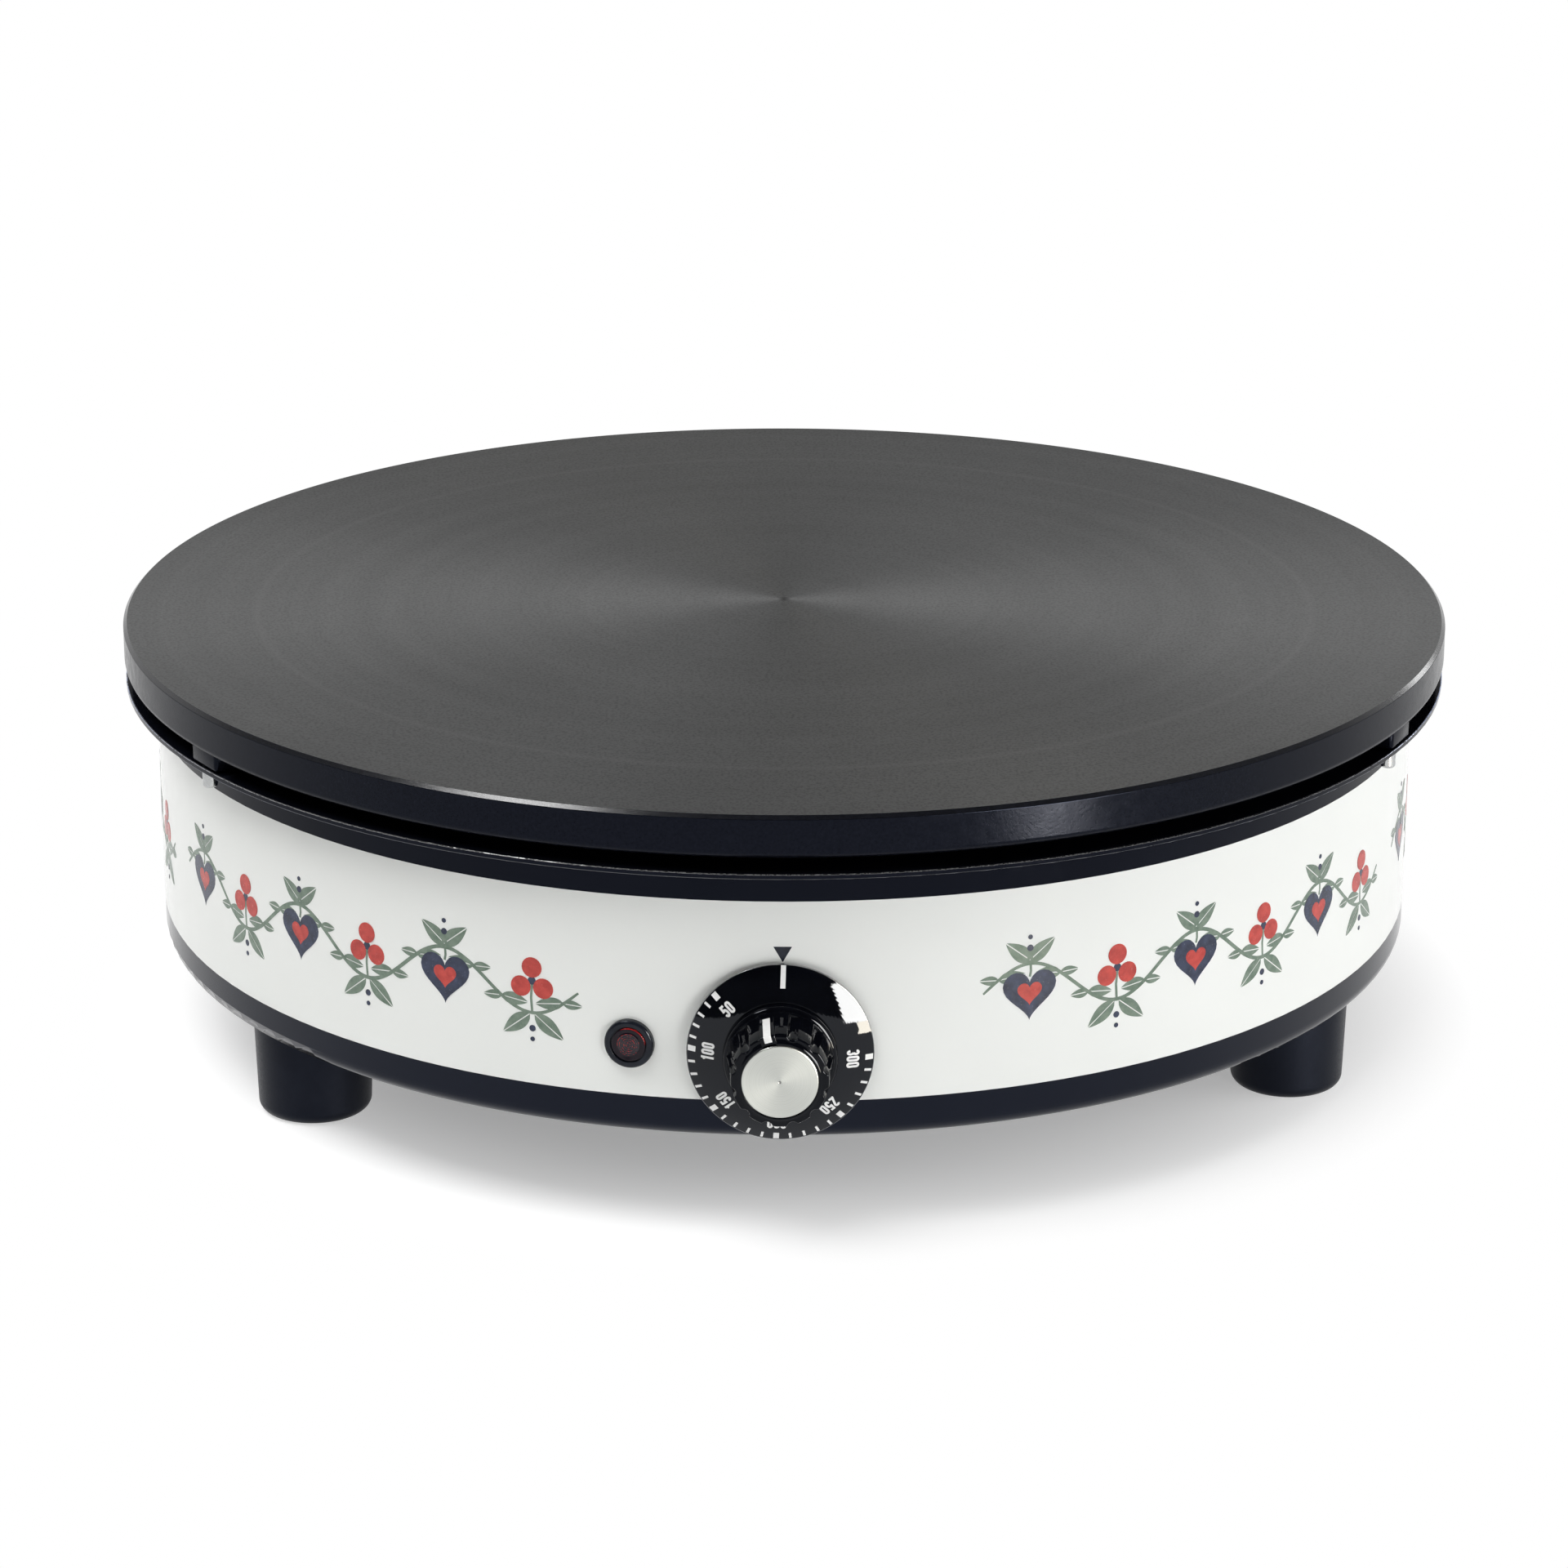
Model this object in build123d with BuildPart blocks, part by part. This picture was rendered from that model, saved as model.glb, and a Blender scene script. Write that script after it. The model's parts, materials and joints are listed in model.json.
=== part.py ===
"""Countertop electric crepe maker: a round cast griddle plate on a sheet-metal drum with three feet.

Units are millimetres and +Z is up. The origin is on the plate's axis, on the surface that the feet stand on.
The dial faces -Y. Azimuths are counted about +Z from the dial, positive towards +X.
"""

import os
from math import atan, cos, degrees, pi, radians, sin, tan

from build123d import *

# ---------------------------------------------------------------- driving dimensions
total_height = 128.0
plate_radius = 200.0
plate_thickness = 12.5
rim_radius = 199.7
drum_radius = 190.6
support_count = 3  # plate legs, leg pins and feet
leg_azimuth = 4.0  # how far round from the dial the legs, the pins and the feet are set
pin_azimuth = 3.4
foot_azimuth = 4.4

# heights above the surface that the feet stand on
plate_bottom = total_height - plate_thickness
rim_top = 111.2
rim_sheet = 1.5
rim_bottom = rim_top - rim_sheet
white_top = 100.2
white_bottom = 41.5
pan_bottom = 29.9
tray_floor_top = 84.5
control_height = 57.0

# sheet and clearance sizes
drum_sheet = 0.8
pan_sheet = 1.3
drum_inner_radius = drum_radius - drum_sheet
sleeve_outer_radius = drum_inner_radius - 0.1
sleeve_inner_radius = sleeve_outer_radius - 1.1
bore_clearance = 0.05
part_gap = 0.1
cut_margin = 1.0  # how far a cutting shape stands out of the wall that it goes through

# machine screws, and the holes and nuts that go with them
m3_radius = 1.5
m3_hole_radius = 1.7
m3_head_radius = 2.9
m4_radius = 2.0
m4_nut_flats = 7.0
m5_radius = 2.5
m5_nut_flats = 8.0
m6_radius = 3.0
m6_nut_flats = 10.0
m8_radius = 4.0
m8_nut_flats = 13.0
thread_clearance = 0.02

# griddle plate
plate_top_chamfer = 1.1
plate_bottom_round = 2.3
leg_outer_radius = 199.3
leg_depth = 10.0
leg_width = 14.6
leg_corner_round = 1.2
pin_circle = 196.3
pin_radius = 2.2
pin_bottom = 104.4
pin_top = 119.0
pin_end_round = 0.9
centre_boss_radius = 18.0
centre_boss_bottom = 107.6
tie_rod_radius = m8_radius
tie_rod_hole_depth = 14.0
stud_hole_depth = 7.0

# heating element: an outer loop and an inner loop of one tube, joined by a turn
tube_radius = 4.0
outer_loop = 150.0
inner_loop = 85.0
loop_start = 250.0
loop_sweep = 310.0
cold_end_bend = 10.0
cold_end_bottom = 70.0
cold_pin_radius = 1.2
element_height = plate_bottom - tube_radius - part_gap

# clamp that holds the element against the plate
clamp_sheet = 2.0
clamp_top = element_height - tube_radius - part_gap
clamp_bottom = clamp_top - clamp_sheet
clamp_arm_width = 26.0
clamp_arm_reach = 164.0
clamp_hub_radius = 32.0
clamp_stud_circle = (outer_loop + inner_loop) / 2
clamp_stud_radius = m6_radius
clamp_stud_hole_clearance = 0.3
clamp_corner_round = 4.0
clamp_boss_clearance = 0.5
clamp_arm_count = 3
clamp_start = 30.0

# feet
foot_circle = 167.0
foot_bottom_radius = 16.5
foot_top_radius = 17.5
foot_edge_round = 3.5
foot_recess_radius = 6.2
foot_recess_depth = 20.0
foot_screw_radius = m5_radius

# dial and knob, measured outwards from a plane just in front of the drum
disc_face = 192.4
disc_radius = 25.8
disc_sheet = 1.3
disc_rim = 0.6
disc_crown = 4.5
disc_flat_radius = 16.2
disc_edge_round = 0.35
spigot_radius = 9.0
knob_base_radius = 15.8
knob_base_length = 7.3
grip_back = 8.6
grip_front = 21.7
grip_back_radius = 14.8
grip_front_radius = 13.3
flute_count = 12
flute_radius = 1.75
flute_outset = 0.79
first_flute = 90 + 180 / flute_count
cap_radius = 10.5
cap_front = 22.2
cap_sheet = 1.2
cap_edge_round = 0.5
index_azimuth = -15.0
shaft_radius = 3.0

# pilot lamp
lamp_azimuth = -12.55
lamp_height = 57.1
bezel_radius = 7.0
bezel_height = 2.0
bezel_edge_round = 0.9
bezel_recess = 0.7
lens_radius = 4.85
lens_stem_radius = 3.9
lamp_barrel_radius = 5.0
lamp_length = 17.0

# cable gland at the rear
gland_hex_flats = 24.0
dome_hex_flats = 22.0
locknut_flats = 26.0
gland_thread_radius = 9.9
gland_neck_radius = 8.6
gland_mouth_radius = 4.2
gland_bore_radius = 5.0
insert_radius = 6.4
cord_hole_radius = 3.6
gland_end = disc_face + cap_front

os.makedirs("parts", exist_ok=True)


def write_piece(piece, label):
    """Label a finished piece and write it as a STEP file of the same name."""
    piece.part.label = label
    export_step(piece.part, f"parts/{label}.step")


def drum_plane(azimuth, radius, height):
    """A plane that faces outwards from the drum: its x runs to the right and its y up, seen from outside."""
    turn = radians(azimuth)
    outward = (sin(turn), -cos(turn), 0)
    return Plane(
        origin=(radius * outward[0], radius * outward[1], height),
        x_dir=(cos(turn), sin(turn), 0),
        z_dir=outward,
    )


def polar(radius, angle, height):
    """The point at a radius, a polar angle from +X in degrees and a height."""
    return (radius * cos(radians(angle)), radius * sin(radians(angle)), height)


def arc_radii(route):
    """The radius of each corner's arc on a route of straight runs, as large as the two runs beside it allow."""
    points = [Vector(point) for point in route]
    radii = []
    for before, corner, after in zip(points, points[1:], points[2:]):
        turn = radians((corner - before).get_angle(after - corner))
        shorter_run = min((corner - before).length, (after - corner).length)
        radii.append(0.45 * shorter_run / tan(turn / 2))
    return radii


def first_support(azimuth):
    """The polar angle from +X of the first of three supports that are set round by an azimuth."""
    return azimuth - 90 + 180 / support_count


def supports(radius, azimuth):
    """Three places on a circle of the given radius, set round by an azimuth."""
    return PolarLocations(radius, support_count, start_angle=first_support(azimuth))


def clamp_places(radius):
    """The three places of the element clamp's arms and studs, on a circle of the given radius."""
    return PolarLocations(radius, clamp_arm_count, start_angle=clamp_start)


def hexagon(flats):
    """A hexagon of the given width across its flats, in the sketch that is being built."""
    return RegularPolygon(radius=flats / 2, side_count=6, major_radius=False)


# ================================================================ griddle plate
with BuildPart() as griddle_plate:
    with BuildSketch(Plane.XY.offset(plate_bottom)):
        Circle(plate_radius)
    extrude(amount=plate_thickness)
    chamfer(griddle_plate.edges().group_by(Axis.Z)[-1], length=plate_top_chamfer)
    fillet(griddle_plate.edges().group_by(Axis.Z)[0], radius=plate_bottom_round)
    # cast legs that stand on the tray rim
    with BuildSketch(Plane.XY.offset(rim_top)):
        with supports(leg_outer_radius - leg_depth / 2, leg_azimuth):
            RectangleRounded(leg_depth, leg_width, leg_corner_round)
    extrude(amount=plate_bottom + plate_bottom_round - rim_top)
    # boss for the tie rod
    with BuildSketch(Plane.XY.offset(centre_boss_bottom)):
        Circle(centre_boss_radius)
    extrude(amount=plate_bottom - centre_boss_bottom)
    # blind holes for the tie rod, the leg pins and the clamp studs
    with BuildSketch(Plane.XY.offset(rim_top)):
        with supports(pin_circle, pin_azimuth):
            Circle(pin_radius)
    extrude(amount=pin_top - rim_top, mode=Mode.SUBTRACT)
    with BuildSketch(Plane.XY.offset(centre_boss_bottom)):
        Circle(tie_rod_radius)
    extrude(amount=tie_rod_hole_depth, mode=Mode.SUBTRACT)
    with BuildSketch(Plane.XY.offset(plate_bottom)):
        with clamp_places(clamp_stud_circle):
            Circle(clamp_stud_radius)
    extrude(amount=stud_hole_depth, mode=Mode.SUBTRACT)
write_piece(griddle_plate, "griddle_plate")

with BuildPart() as plate_pins:
    with BuildSketch(Plane.XY.offset(pin_bottom)):
        with supports(pin_circle, pin_azimuth):
            Circle(pin_radius - thread_clearance)
    extrude(amount=pin_top - pin_bottom - part_gap)
    fillet(plate_pins.edges().group_by(Axis.Z)[0], radius=pin_end_round)
write_piece(plate_pins, "plate_pins")

# ================================================================ heating element
start_angle = radians(loop_start)
tangent = (-sin(start_angle), cos(start_angle))


def cold_end_points(radius):
    """Where a cold end's bend meets its loop, the bend's middle, the top of the drop, and its lower end."""
    x, y, z = polar(radius, loop_start, element_height)
    end_x = x - cold_end_bend * tangent[0]
    end_y = y - cold_end_bend * tangent[1]
    along = sin(radians(45))
    middle = (x + (end_x - x) * along, y + (end_y - y) * along, z - cold_end_bend * (1 - along))
    return (x, y, z), middle, (end_x, end_y, z - cold_end_bend), (end_x, end_y, cold_end_bottom)


turn_angle = loop_start + loop_sweep
turn_middle_radius = (outer_loop + inner_loop) / 2
turn_radius = (outer_loop - inner_loop) / 2
turn_centre = polar(turn_middle_radius, turn_angle, element_height)
turn_top = (
    turn_centre[0] - turn_radius * sin(radians(turn_angle)),
    turn_centre[1] + turn_radius * cos(radians(turn_angle)),
    element_height,
)
outer_in, outer_bend, outer_drop, outer_end = cold_end_points(outer_loop)
inner_in, inner_bend, inner_drop, inner_end = cold_end_points(inner_loop)
half_sweep = loop_sweep / 2

with BuildPart() as heating_element:
    with BuildLine() as element_path:
        Line(outer_end, outer_drop)
        ThreePointArc(outer_drop, outer_bend, outer_in)
        outer_out = polar(outer_loop, turn_angle, element_height)
        ThreePointArc(outer_in, polar(outer_loop, loop_start + half_sweep, element_height), outer_out)
        inner_out = polar(inner_loop, turn_angle, element_height)
        ThreePointArc(outer_out, turn_top, inner_out)
        ThreePointArc(inner_out, polar(inner_loop, loop_start + half_sweep, element_height), inner_in)
        ThreePointArc(inner_in, inner_bend, inner_drop)
        Line(inner_drop, inner_end)
    with BuildSketch(Plane(origin=outer_end, z_dir=(0, 0, 1))):
        Circle(tube_radius)
    sweep(path=element_path.wire())
write_piece(heating_element, "heating_element")

cold_ends = [outer_end[:2], inner_end[:2]]
bead_height = 9.0
bead_radius = tube_radius + 0.6
bead_edge_round = 1.0

with BuildPart() as element_beads:
    with BuildSketch(Plane.XY.offset(cold_end_bottom - bead_height)):
        with Locations(*cold_ends):
            Circle(bead_radius)
            Circle(cold_pin_radius + part_gap, mode=Mode.SUBTRACT)
    extrude(amount=bead_height - part_gap)
    top_edges = element_beads.edges().group_by(Axis.Z)[-1].filter_by(GeomType.CIRCLE)
    fillet(top_edges.group_by(SortBy.RADIUS)[-1], radius=bead_edge_round)
write_piece(element_beads, "element_beads")

tab_width = 6.3
tab_sheet = 0.8
tab_length = 16.0
tab_overlap = 1.0

with BuildPart() as element_tabs:
    with BuildSketch(Plane.XY.offset(cold_end_bottom - bead_height - tab_overlap)):
        with Locations(*cold_ends):
            Circle(cold_pin_radius)
    extrude(amount=bead_height)
    with BuildSketch(Plane.XY.offset(cold_end_bottom - bead_height - tab_length)):
        with Locations(*cold_ends):
            Rectangle(tab_width, tab_sheet)
    extrude(amount=tab_length - tab_overlap / 2)
write_piece(element_tabs, "element_tabs")

with BuildPart() as element_clamp:
    with BuildSketch(Plane.XY.offset(clamp_bottom)):
        Circle(clamp_hub_radius)
        with clamp_places(clamp_arm_reach / 2):
            Rectangle(clamp_arm_reach, clamp_arm_width)
        Circle(centre_boss_radius + clamp_boss_clearance, mode=Mode.SUBTRACT)
        with clamp_places(clamp_stud_circle):
            Circle(clamp_stud_radius + clamp_stud_hole_clearance, mode=Mode.SUBTRACT)
    extrude(amount=clamp_sheet)
    arm_corners = element_clamp.edges().filter_by(Axis.Z).group_by(SortBy.DISTANCE)[-1]
    fillet(arm_corners, radius=clamp_corner_round)
write_piece(element_clamp, "element_clamp")

stud_nut_height = 5.0
stud_end = 2.0  # what shows of a stud below its nut
stud_end_chamfer = 0.6
clamp_stud_bottom = clamp_bottom - stud_nut_height - stud_end

with BuildPart() as clamp_studs:
    with BuildSketch(Plane.XY.offset(clamp_stud_bottom)):
        with clamp_places(clamp_stud_circle):
            Circle(clamp_stud_radius - thread_clearance)
    extrude(amount=plate_bottom + stud_hole_depth - 0.5 - clamp_stud_bottom)
    chamfer(clamp_studs.edges().group_by(Axis.Z)[0], length=stud_end_chamfer)
write_piece(clamp_studs, "clamp_studs")

with BuildPart() as clamp_nuts:
    with BuildSketch(Plane.XY.offset(clamp_bottom - stud_nut_height)):
        with clamp_places(clamp_stud_circle):
            hexagon(m6_nut_flats)
            Circle(clamp_stud_radius + thread_clearance, mode=Mode.SUBTRACT)
    extrude(amount=stud_nut_height - part_gap / 2)
write_piece(clamp_nuts, "clamp_nuts")

# ================================================================ heat tray and insulation
capillary_drop = (-58.0, -30.0)
capillary_hole_radius = 3.0
cold_end_hole_radius = tube_radius + 0.8
tray_wall_radius = 184.0
tray_bend_radius = 2.6
rim_edge_round = 0.22

with BuildPart() as heat_tray:
    with BuildSketch(Plane.XZ):
        with BuildLine() as tray_line:
            FilletPolyline(
                (tie_rod_radius + 0.5, tray_floor_top - rim_sheet / 2),
                (tray_wall_radius, tray_floor_top - rim_sheet / 2),
                (tray_wall_radius, rim_top - rim_sheet / 2),
                (rim_radius, rim_top - rim_sheet / 2),
                radius=tray_bend_radius,
            )
        trace(tray_line.line, line_width=rim_sheet)
    revolve(axis=Axis.Z)
    rim_edges = heat_tray.edges().filter_by(GeomType.CIRCLE).group_by(SortBy.RADIUS)[-1]
    fillet(rim_edges, radius=rim_edge_round)
    with BuildSketch(Plane.XY.offset(rim_bottom - cut_margin)):
        with supports(pin_circle, pin_azimuth):
            Circle(pin_radius + 0.15)
    extrude(amount=rim_sheet + 2 * cut_margin, mode=Mode.SUBTRACT)
    with BuildSketch(Plane.XY.offset(tray_floor_top - rim_sheet - cut_margin)):
        with Locations(*cold_ends):
            Circle(cold_end_hole_radius)
        with Locations(capillary_drop):
            Circle(capillary_hole_radius)
    extrude(amount=rim_sheet + 2 * cut_margin, mode=Mode.SUBTRACT)
write_piece(heat_tray, "heat_tray")

insulation_radius = 179.0
insulation_height = 12.0
insulation_hole_radius = 12.0
insulation_margin = 0.9  # how much wider its holes are than the tray's

with BuildPart() as insulation_disc:
    with BuildSketch(Plane.XY.offset(tray_floor_top + part_gap)):
        Circle(insulation_radius)
        Circle(insulation_hole_radius, mode=Mode.SUBTRACT)
        with Locations(*cold_ends):
            Circle(cold_end_hole_radius + insulation_margin, mode=Mode.SUBTRACT)
        with Locations(capillary_drop):
            Circle(capillary_hole_radius + insulation_margin, mode=Mode.SUBTRACT)
    extrude(amount=insulation_height)
write_piece(insulation_disc, "insulation_disc")

# ================================================================ upper band, drum band, base pan
band_radius = drum_radius + 0.2
band_flange_sheet = 1.2
band_flange_inner_radius = 187.2
band_edge_round = 0.8
band_sleeve_drop = 8.0
band_sleeve_height = 12.0

with BuildPart() as upper_band:
    with BuildSketch(Plane.XY.offset(white_top)):
        Circle(band_radius)
        Circle(sleeve_outer_radius - 0.5, mode=Mode.SUBTRACT)
    extrude(amount=rim_bottom - white_top - part_gap)
    # inward flange under the tray rim
    with BuildSketch(Plane.XY.offset(rim_bottom - part_gap - band_flange_sheet)):
        Circle(band_radius)
        Circle(band_flange_inner_radius, mode=Mode.SUBTRACT)
    extrude(amount=band_flange_sheet)
    fillet(upper_band.edges().group_by(Axis.Z)[-1].group_by(SortBy.RADIUS)[-1], radius=band_edge_round)
    # sleeve inside the drum band
    with BuildSketch(Plane.XY.offset(white_top - band_sleeve_drop)):
        Circle(sleeve_outer_radius)
        Circle(sleeve_inner_radius, mode=Mode.SUBTRACT)
    extrude(amount=band_sleeve_height)
write_piece(upper_band, "upper_band")

thermostat_screw_rise = 11.0
thermostat_screw_places = [(0, thermostat_screw_rise), (0, -thermostat_screw_rise)]
shaft_hole_radius = 5.0
wall_cut_start = drum_radius + 2
wall_cut_depth = 6.0

with BuildPart() as drum_band:
    with BuildSketch(Plane.XY.offset(white_bottom)):
        Circle(drum_radius)
        Circle(drum_inner_radius, mode=Mode.SUBTRACT)
    extrude(amount=white_top - white_bottom)
    with BuildSketch(drum_plane(0, wall_cut_start, control_height)):
        Circle(shaft_hole_radius)
        with Locations(*thermostat_screw_places):
            Circle(m3_hole_radius)
    extrude(amount=-wall_cut_depth, mode=Mode.SUBTRACT)
    with BuildSketch(drum_plane(lamp_azimuth, wall_cut_start, lamp_height)):
        Circle(lamp_barrel_radius + part_gap)
    extrude(amount=-wall_cut_depth, mode=Mode.SUBTRACT)
    with BuildSketch(drum_plane(180, wall_cut_start, control_height)):
        Circle(gland_thread_radius + part_gap)
    extrude(amount=-wall_cut_depth, mode=Mode.SUBTRACT)
write_piece(drum_band, "drum_band")

pan_radius = drum_radius - 0.1
pan_edge_round = 4.5
pan_sleeve_drop = 4.0
pan_sleeve_height = 10.0
notch_depth = 12.0
front_notch_width = 52.0
rear_notch_width = 40.0
slot_width = 4.0
outer_slot_ring = 105.0
outer_slot_count = 12
outer_slot_length = 26.0
inner_slot_ring = 62.0
inner_slot_count = 6
inner_slot_length = 20.0
earth_stud_place = (60.0, 92.0)
block_place = (0.0, 128.0)
pole_pitch = 12.0
block_fixing_pitch = 17.0
block_fixings = [
    (block_place[0] + pole_pitch / 2, block_place[1] - block_fixing_pitch / 2),
    (block_place[0] + pole_pitch / 2, block_place[1] + block_fixing_pitch / 2),
]

with BuildPart() as base_pan:
    with BuildSketch(Plane.XY.offset(pan_bottom)):
        Circle(pan_radius)
    extrude(amount=white_bottom - pan_bottom - part_gap / 2)
    fillet(base_pan.edges().group_by(Axis.Z)[0], radius=pan_edge_round)
    with BuildSketch(Plane.XY.offset(pan_bottom + pan_sheet + pan_edge_round)):
        Circle(sleeve_outer_radius - 0.5)
    extrude(amount=white_bottom - pan_bottom, mode=Mode.SUBTRACT)
    with BuildSketch(Plane.XY.offset(pan_bottom + pan_sheet)):
        Circle(pan_radius - pan_edge_round)
    extrude(amount=white_bottom - pan_bottom, mode=Mode.SUBTRACT)
    # sleeve inside the drum band
    with BuildSketch(Plane.XY.offset(white_bottom - pan_sleeve_drop)):
        Circle(sleeve_outer_radius)
        Circle(sleeve_inner_radius, mode=Mode.SUBTRACT)
    extrude(amount=pan_sleeve_height)
    # the sleeve is open behind the thermostat and behind the cable gland
    with BuildSketch(Plane.XY.offset(white_bottom)):
        with Locations((0, -drum_radius)):
            Rectangle(front_notch_width, notch_depth)
        with Locations((0, drum_radius)):
            Rectangle(rear_notch_width, notch_depth)
    extrude(amount=pan_sleeve_height, mode=Mode.SUBTRACT)
    # two rings of ventilation slots, and the holes for the fastenings
    with BuildSketch(Plane.XY.offset(pan_bottom - cut_margin)):
        with PolarLocations(outer_slot_ring, outer_slot_count, start_angle=180 / outer_slot_count):
            SlotOverall(outer_slot_length, slot_width)
        with PolarLocations(inner_slot_ring, inner_slot_count):
            SlotOverall(inner_slot_length, slot_width)
        with supports(foot_circle, foot_azimuth):
            Circle(foot_screw_radius + 0.2)
        Circle(tie_rod_radius + 0.3)
        with Locations(earth_stud_place):
            Circle(m4_radius + 0.2)
        with Locations(*block_fixings):
            Circle(m3_hole_radius)
    extrude(amount=pan_sheet + 2 * cut_margin, mode=Mode.SUBTRACT)
write_piece(base_pan, "base_pan")

# ================================================================ tie rod
tie_rod_bottom = pan_bottom - 11
tie_rod_chamfer = 0.8
tie_washer_radius = 12.0
tie_washer_height = 1.6
tie_nut_height = 6.5
spacer_radius = 8.0

with BuildPart() as tie_rod:
    with BuildSketch(Plane.XY.offset(tie_rod_bottom)):
        Circle(tie_rod_radius - thread_clearance)
    extrude(amount=centre_boss_bottom + tie_rod_hole_depth - 1 - tie_rod_bottom)
    chamfer(tie_rod.edges().group_by(Axis.Z)[0], length=tie_rod_chamfer)
write_piece(tie_rod, "tie_rod")

with BuildPart() as tie_rod_washer:
    with BuildSketch(Plane.XY.offset(pan_bottom - tie_washer_height - thread_clearance)):
        Circle(tie_washer_radius)
        Circle(tie_rod_radius + 0.2, mode=Mode.SUBTRACT)
    extrude(amount=tie_washer_height)
write_piece(tie_rod_washer, "tie_rod_washer")

with BuildPart() as tie_rod_nut:
    with BuildSketch(Plane.XY.offset(pan_bottom - tie_washer_height - tie_nut_height - part_gap / 2)):
        hexagon(m8_nut_flats)
        Circle(tie_rod_radius + thread_clearance, mode=Mode.SUBTRACT)
    extrude(amount=tie_nut_height)
write_piece(tie_rod_nut, "tie_rod_nut")

with BuildPart() as spacer_tube:
    with BuildSketch(Plane.XY.offset(pan_bottom + pan_sheet + 0.02)):
        Circle(spacer_radius)
        Circle(tie_rod_radius + 0.5, mode=Mode.SUBTRACT)
    extrude(amount=tray_floor_top - rim_sheet - pan_bottom - pan_sheet - 0.04)
write_piece(spacer_tube, "spacer_tube")

# ================================================================ feet
foot_names = ["foot_front_right", "foot_rear", "foot_front_left"]
foot_angles = [first_support(foot_azimuth) + 360 / support_count * index for index in range(support_count)]
foot_taper = degrees(atan((foot_top_radius - foot_bottom_radius) / pan_bottom))

for foot_name, foot_angle in zip(foot_names, foot_angles):
    foot_x, foot_y, _ = polar(foot_circle, foot_angle, 0)
    with BuildPart() as foot:
        with BuildSketch(Plane.XY.offset(pan_bottom - part_gap / 2)):
            with Locations((foot_x, foot_y)):
                Circle(foot_top_radius)
        extrude(amount=-(pan_bottom - part_gap / 2), taper=foot_taper)
        fillet(foot.edges().group_by(Axis.Z)[0], radius=foot_edge_round)
        with BuildSketch(Plane.XY):
            with Locations((foot_x, foot_y)):
                Circle(foot_recess_radius)
        extrude(amount=foot_recess_depth, mode=Mode.SUBTRACT)
        with BuildSketch(Plane.XY.offset(foot_recess_depth)):
            with Locations((foot_x, foot_y)):
                Circle(foot_screw_radius + 0.3)
        extrude(amount=pan_bottom, mode=Mode.SUBTRACT)
    write_piece(foot, foot_name)

foot_washer_height = 1.0
foot_washer_radius = 5.9
foot_head_height = 3.4
foot_head_radius = 4.6
foot_head_round = 1.4
cross_width = 1.1
cross_depth = 1.8
foot_screw_end = 3.0  # what shows of a foot screw above its nut
foot_head_top = foot_recess_depth - foot_washer_height - 0.04
foot_nut_bottom = pan_bottom + pan_sheet + 0.03
foot_nut_height = 4.0

with BuildPart() as foot_screws:
    with BuildSketch(Plane.XY.offset(foot_head_top - foot_head_height)):
        with supports(foot_circle, foot_azimuth):
            Circle(foot_head_radius)
    extrude(amount=foot_head_height)
    fillet(foot_screws.edges().group_by(Axis.Z)[0], radius=foot_head_round)
    with BuildSketch(Plane.XY.offset(foot_head_top)):
        with supports(foot_circle, foot_azimuth):
            Circle(foot_screw_radius)
    extrude(amount=foot_nut_bottom + foot_nut_height + foot_screw_end - foot_head_top)
    # cross recess of the pan heads
    with BuildSketch(Plane.XY.offset(foot_head_top - foot_head_height)):
        with supports(foot_circle, foot_azimuth):
            Rectangle(foot_head_radius, cross_width)
            Rectangle(cross_width, foot_head_radius)
    extrude(amount=cross_depth, mode=Mode.SUBTRACT)
write_piece(foot_screws, "foot_screws")

with BuildPart() as foot_washers:
    with BuildSketch(Plane.XY.offset(foot_head_top + 0.02)):
        with supports(foot_circle, foot_azimuth):
            Circle(foot_washer_radius)
            Circle(foot_screw_radius + 0.2, mode=Mode.SUBTRACT)
    extrude(amount=foot_washer_height)
write_piece(foot_washers, "foot_washers")

with BuildPart() as foot_nuts:
    with BuildSketch(Plane.XY.offset(foot_nut_bottom)):
        with supports(foot_circle, foot_azimuth):
            hexagon(m5_nut_flats)
            Circle(foot_screw_radius + thread_clearance, mode=Mode.SUBTRACT)
    extrude(amount=foot_nut_height)
write_piece(foot_nuts, "foot_nuts")

# ================================================================ thermostat
strap_sheet = 1.6
strap_width = 18.0
strap_height = 31.0
strap_corner_round = 3.0
strap_front = drum_inner_radius - 0.4
strap_back = strap_front - strap_sheet
body_depth = 30.0
body_width = 44.0
body_height = 31.2
body_corner_round = 2.0
body_front = strap_back - part_gap
body_back = body_front - body_depth
shaft_bore_depth = 16.0
shaft_back = body_front - shaft_bore_depth + 2
screw_well_depth = 3.0
strap_plane = drum_plane(0, strap_front, control_height)

with BuildPart() as thermostat_strap:
    with BuildSketch(strap_plane):
        RectangleRounded(strap_width, strap_height, strap_corner_round)
        Circle(shaft_radius + 0.6, mode=Mode.SUBTRACT)
        with Locations(*thermostat_screw_places):
            Circle(m3_radius + thread_clearance, mode=Mode.SUBTRACT)
    extrude(amount=-strap_sheet)
write_piece(thermostat_strap, "thermostat_strap")

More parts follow.
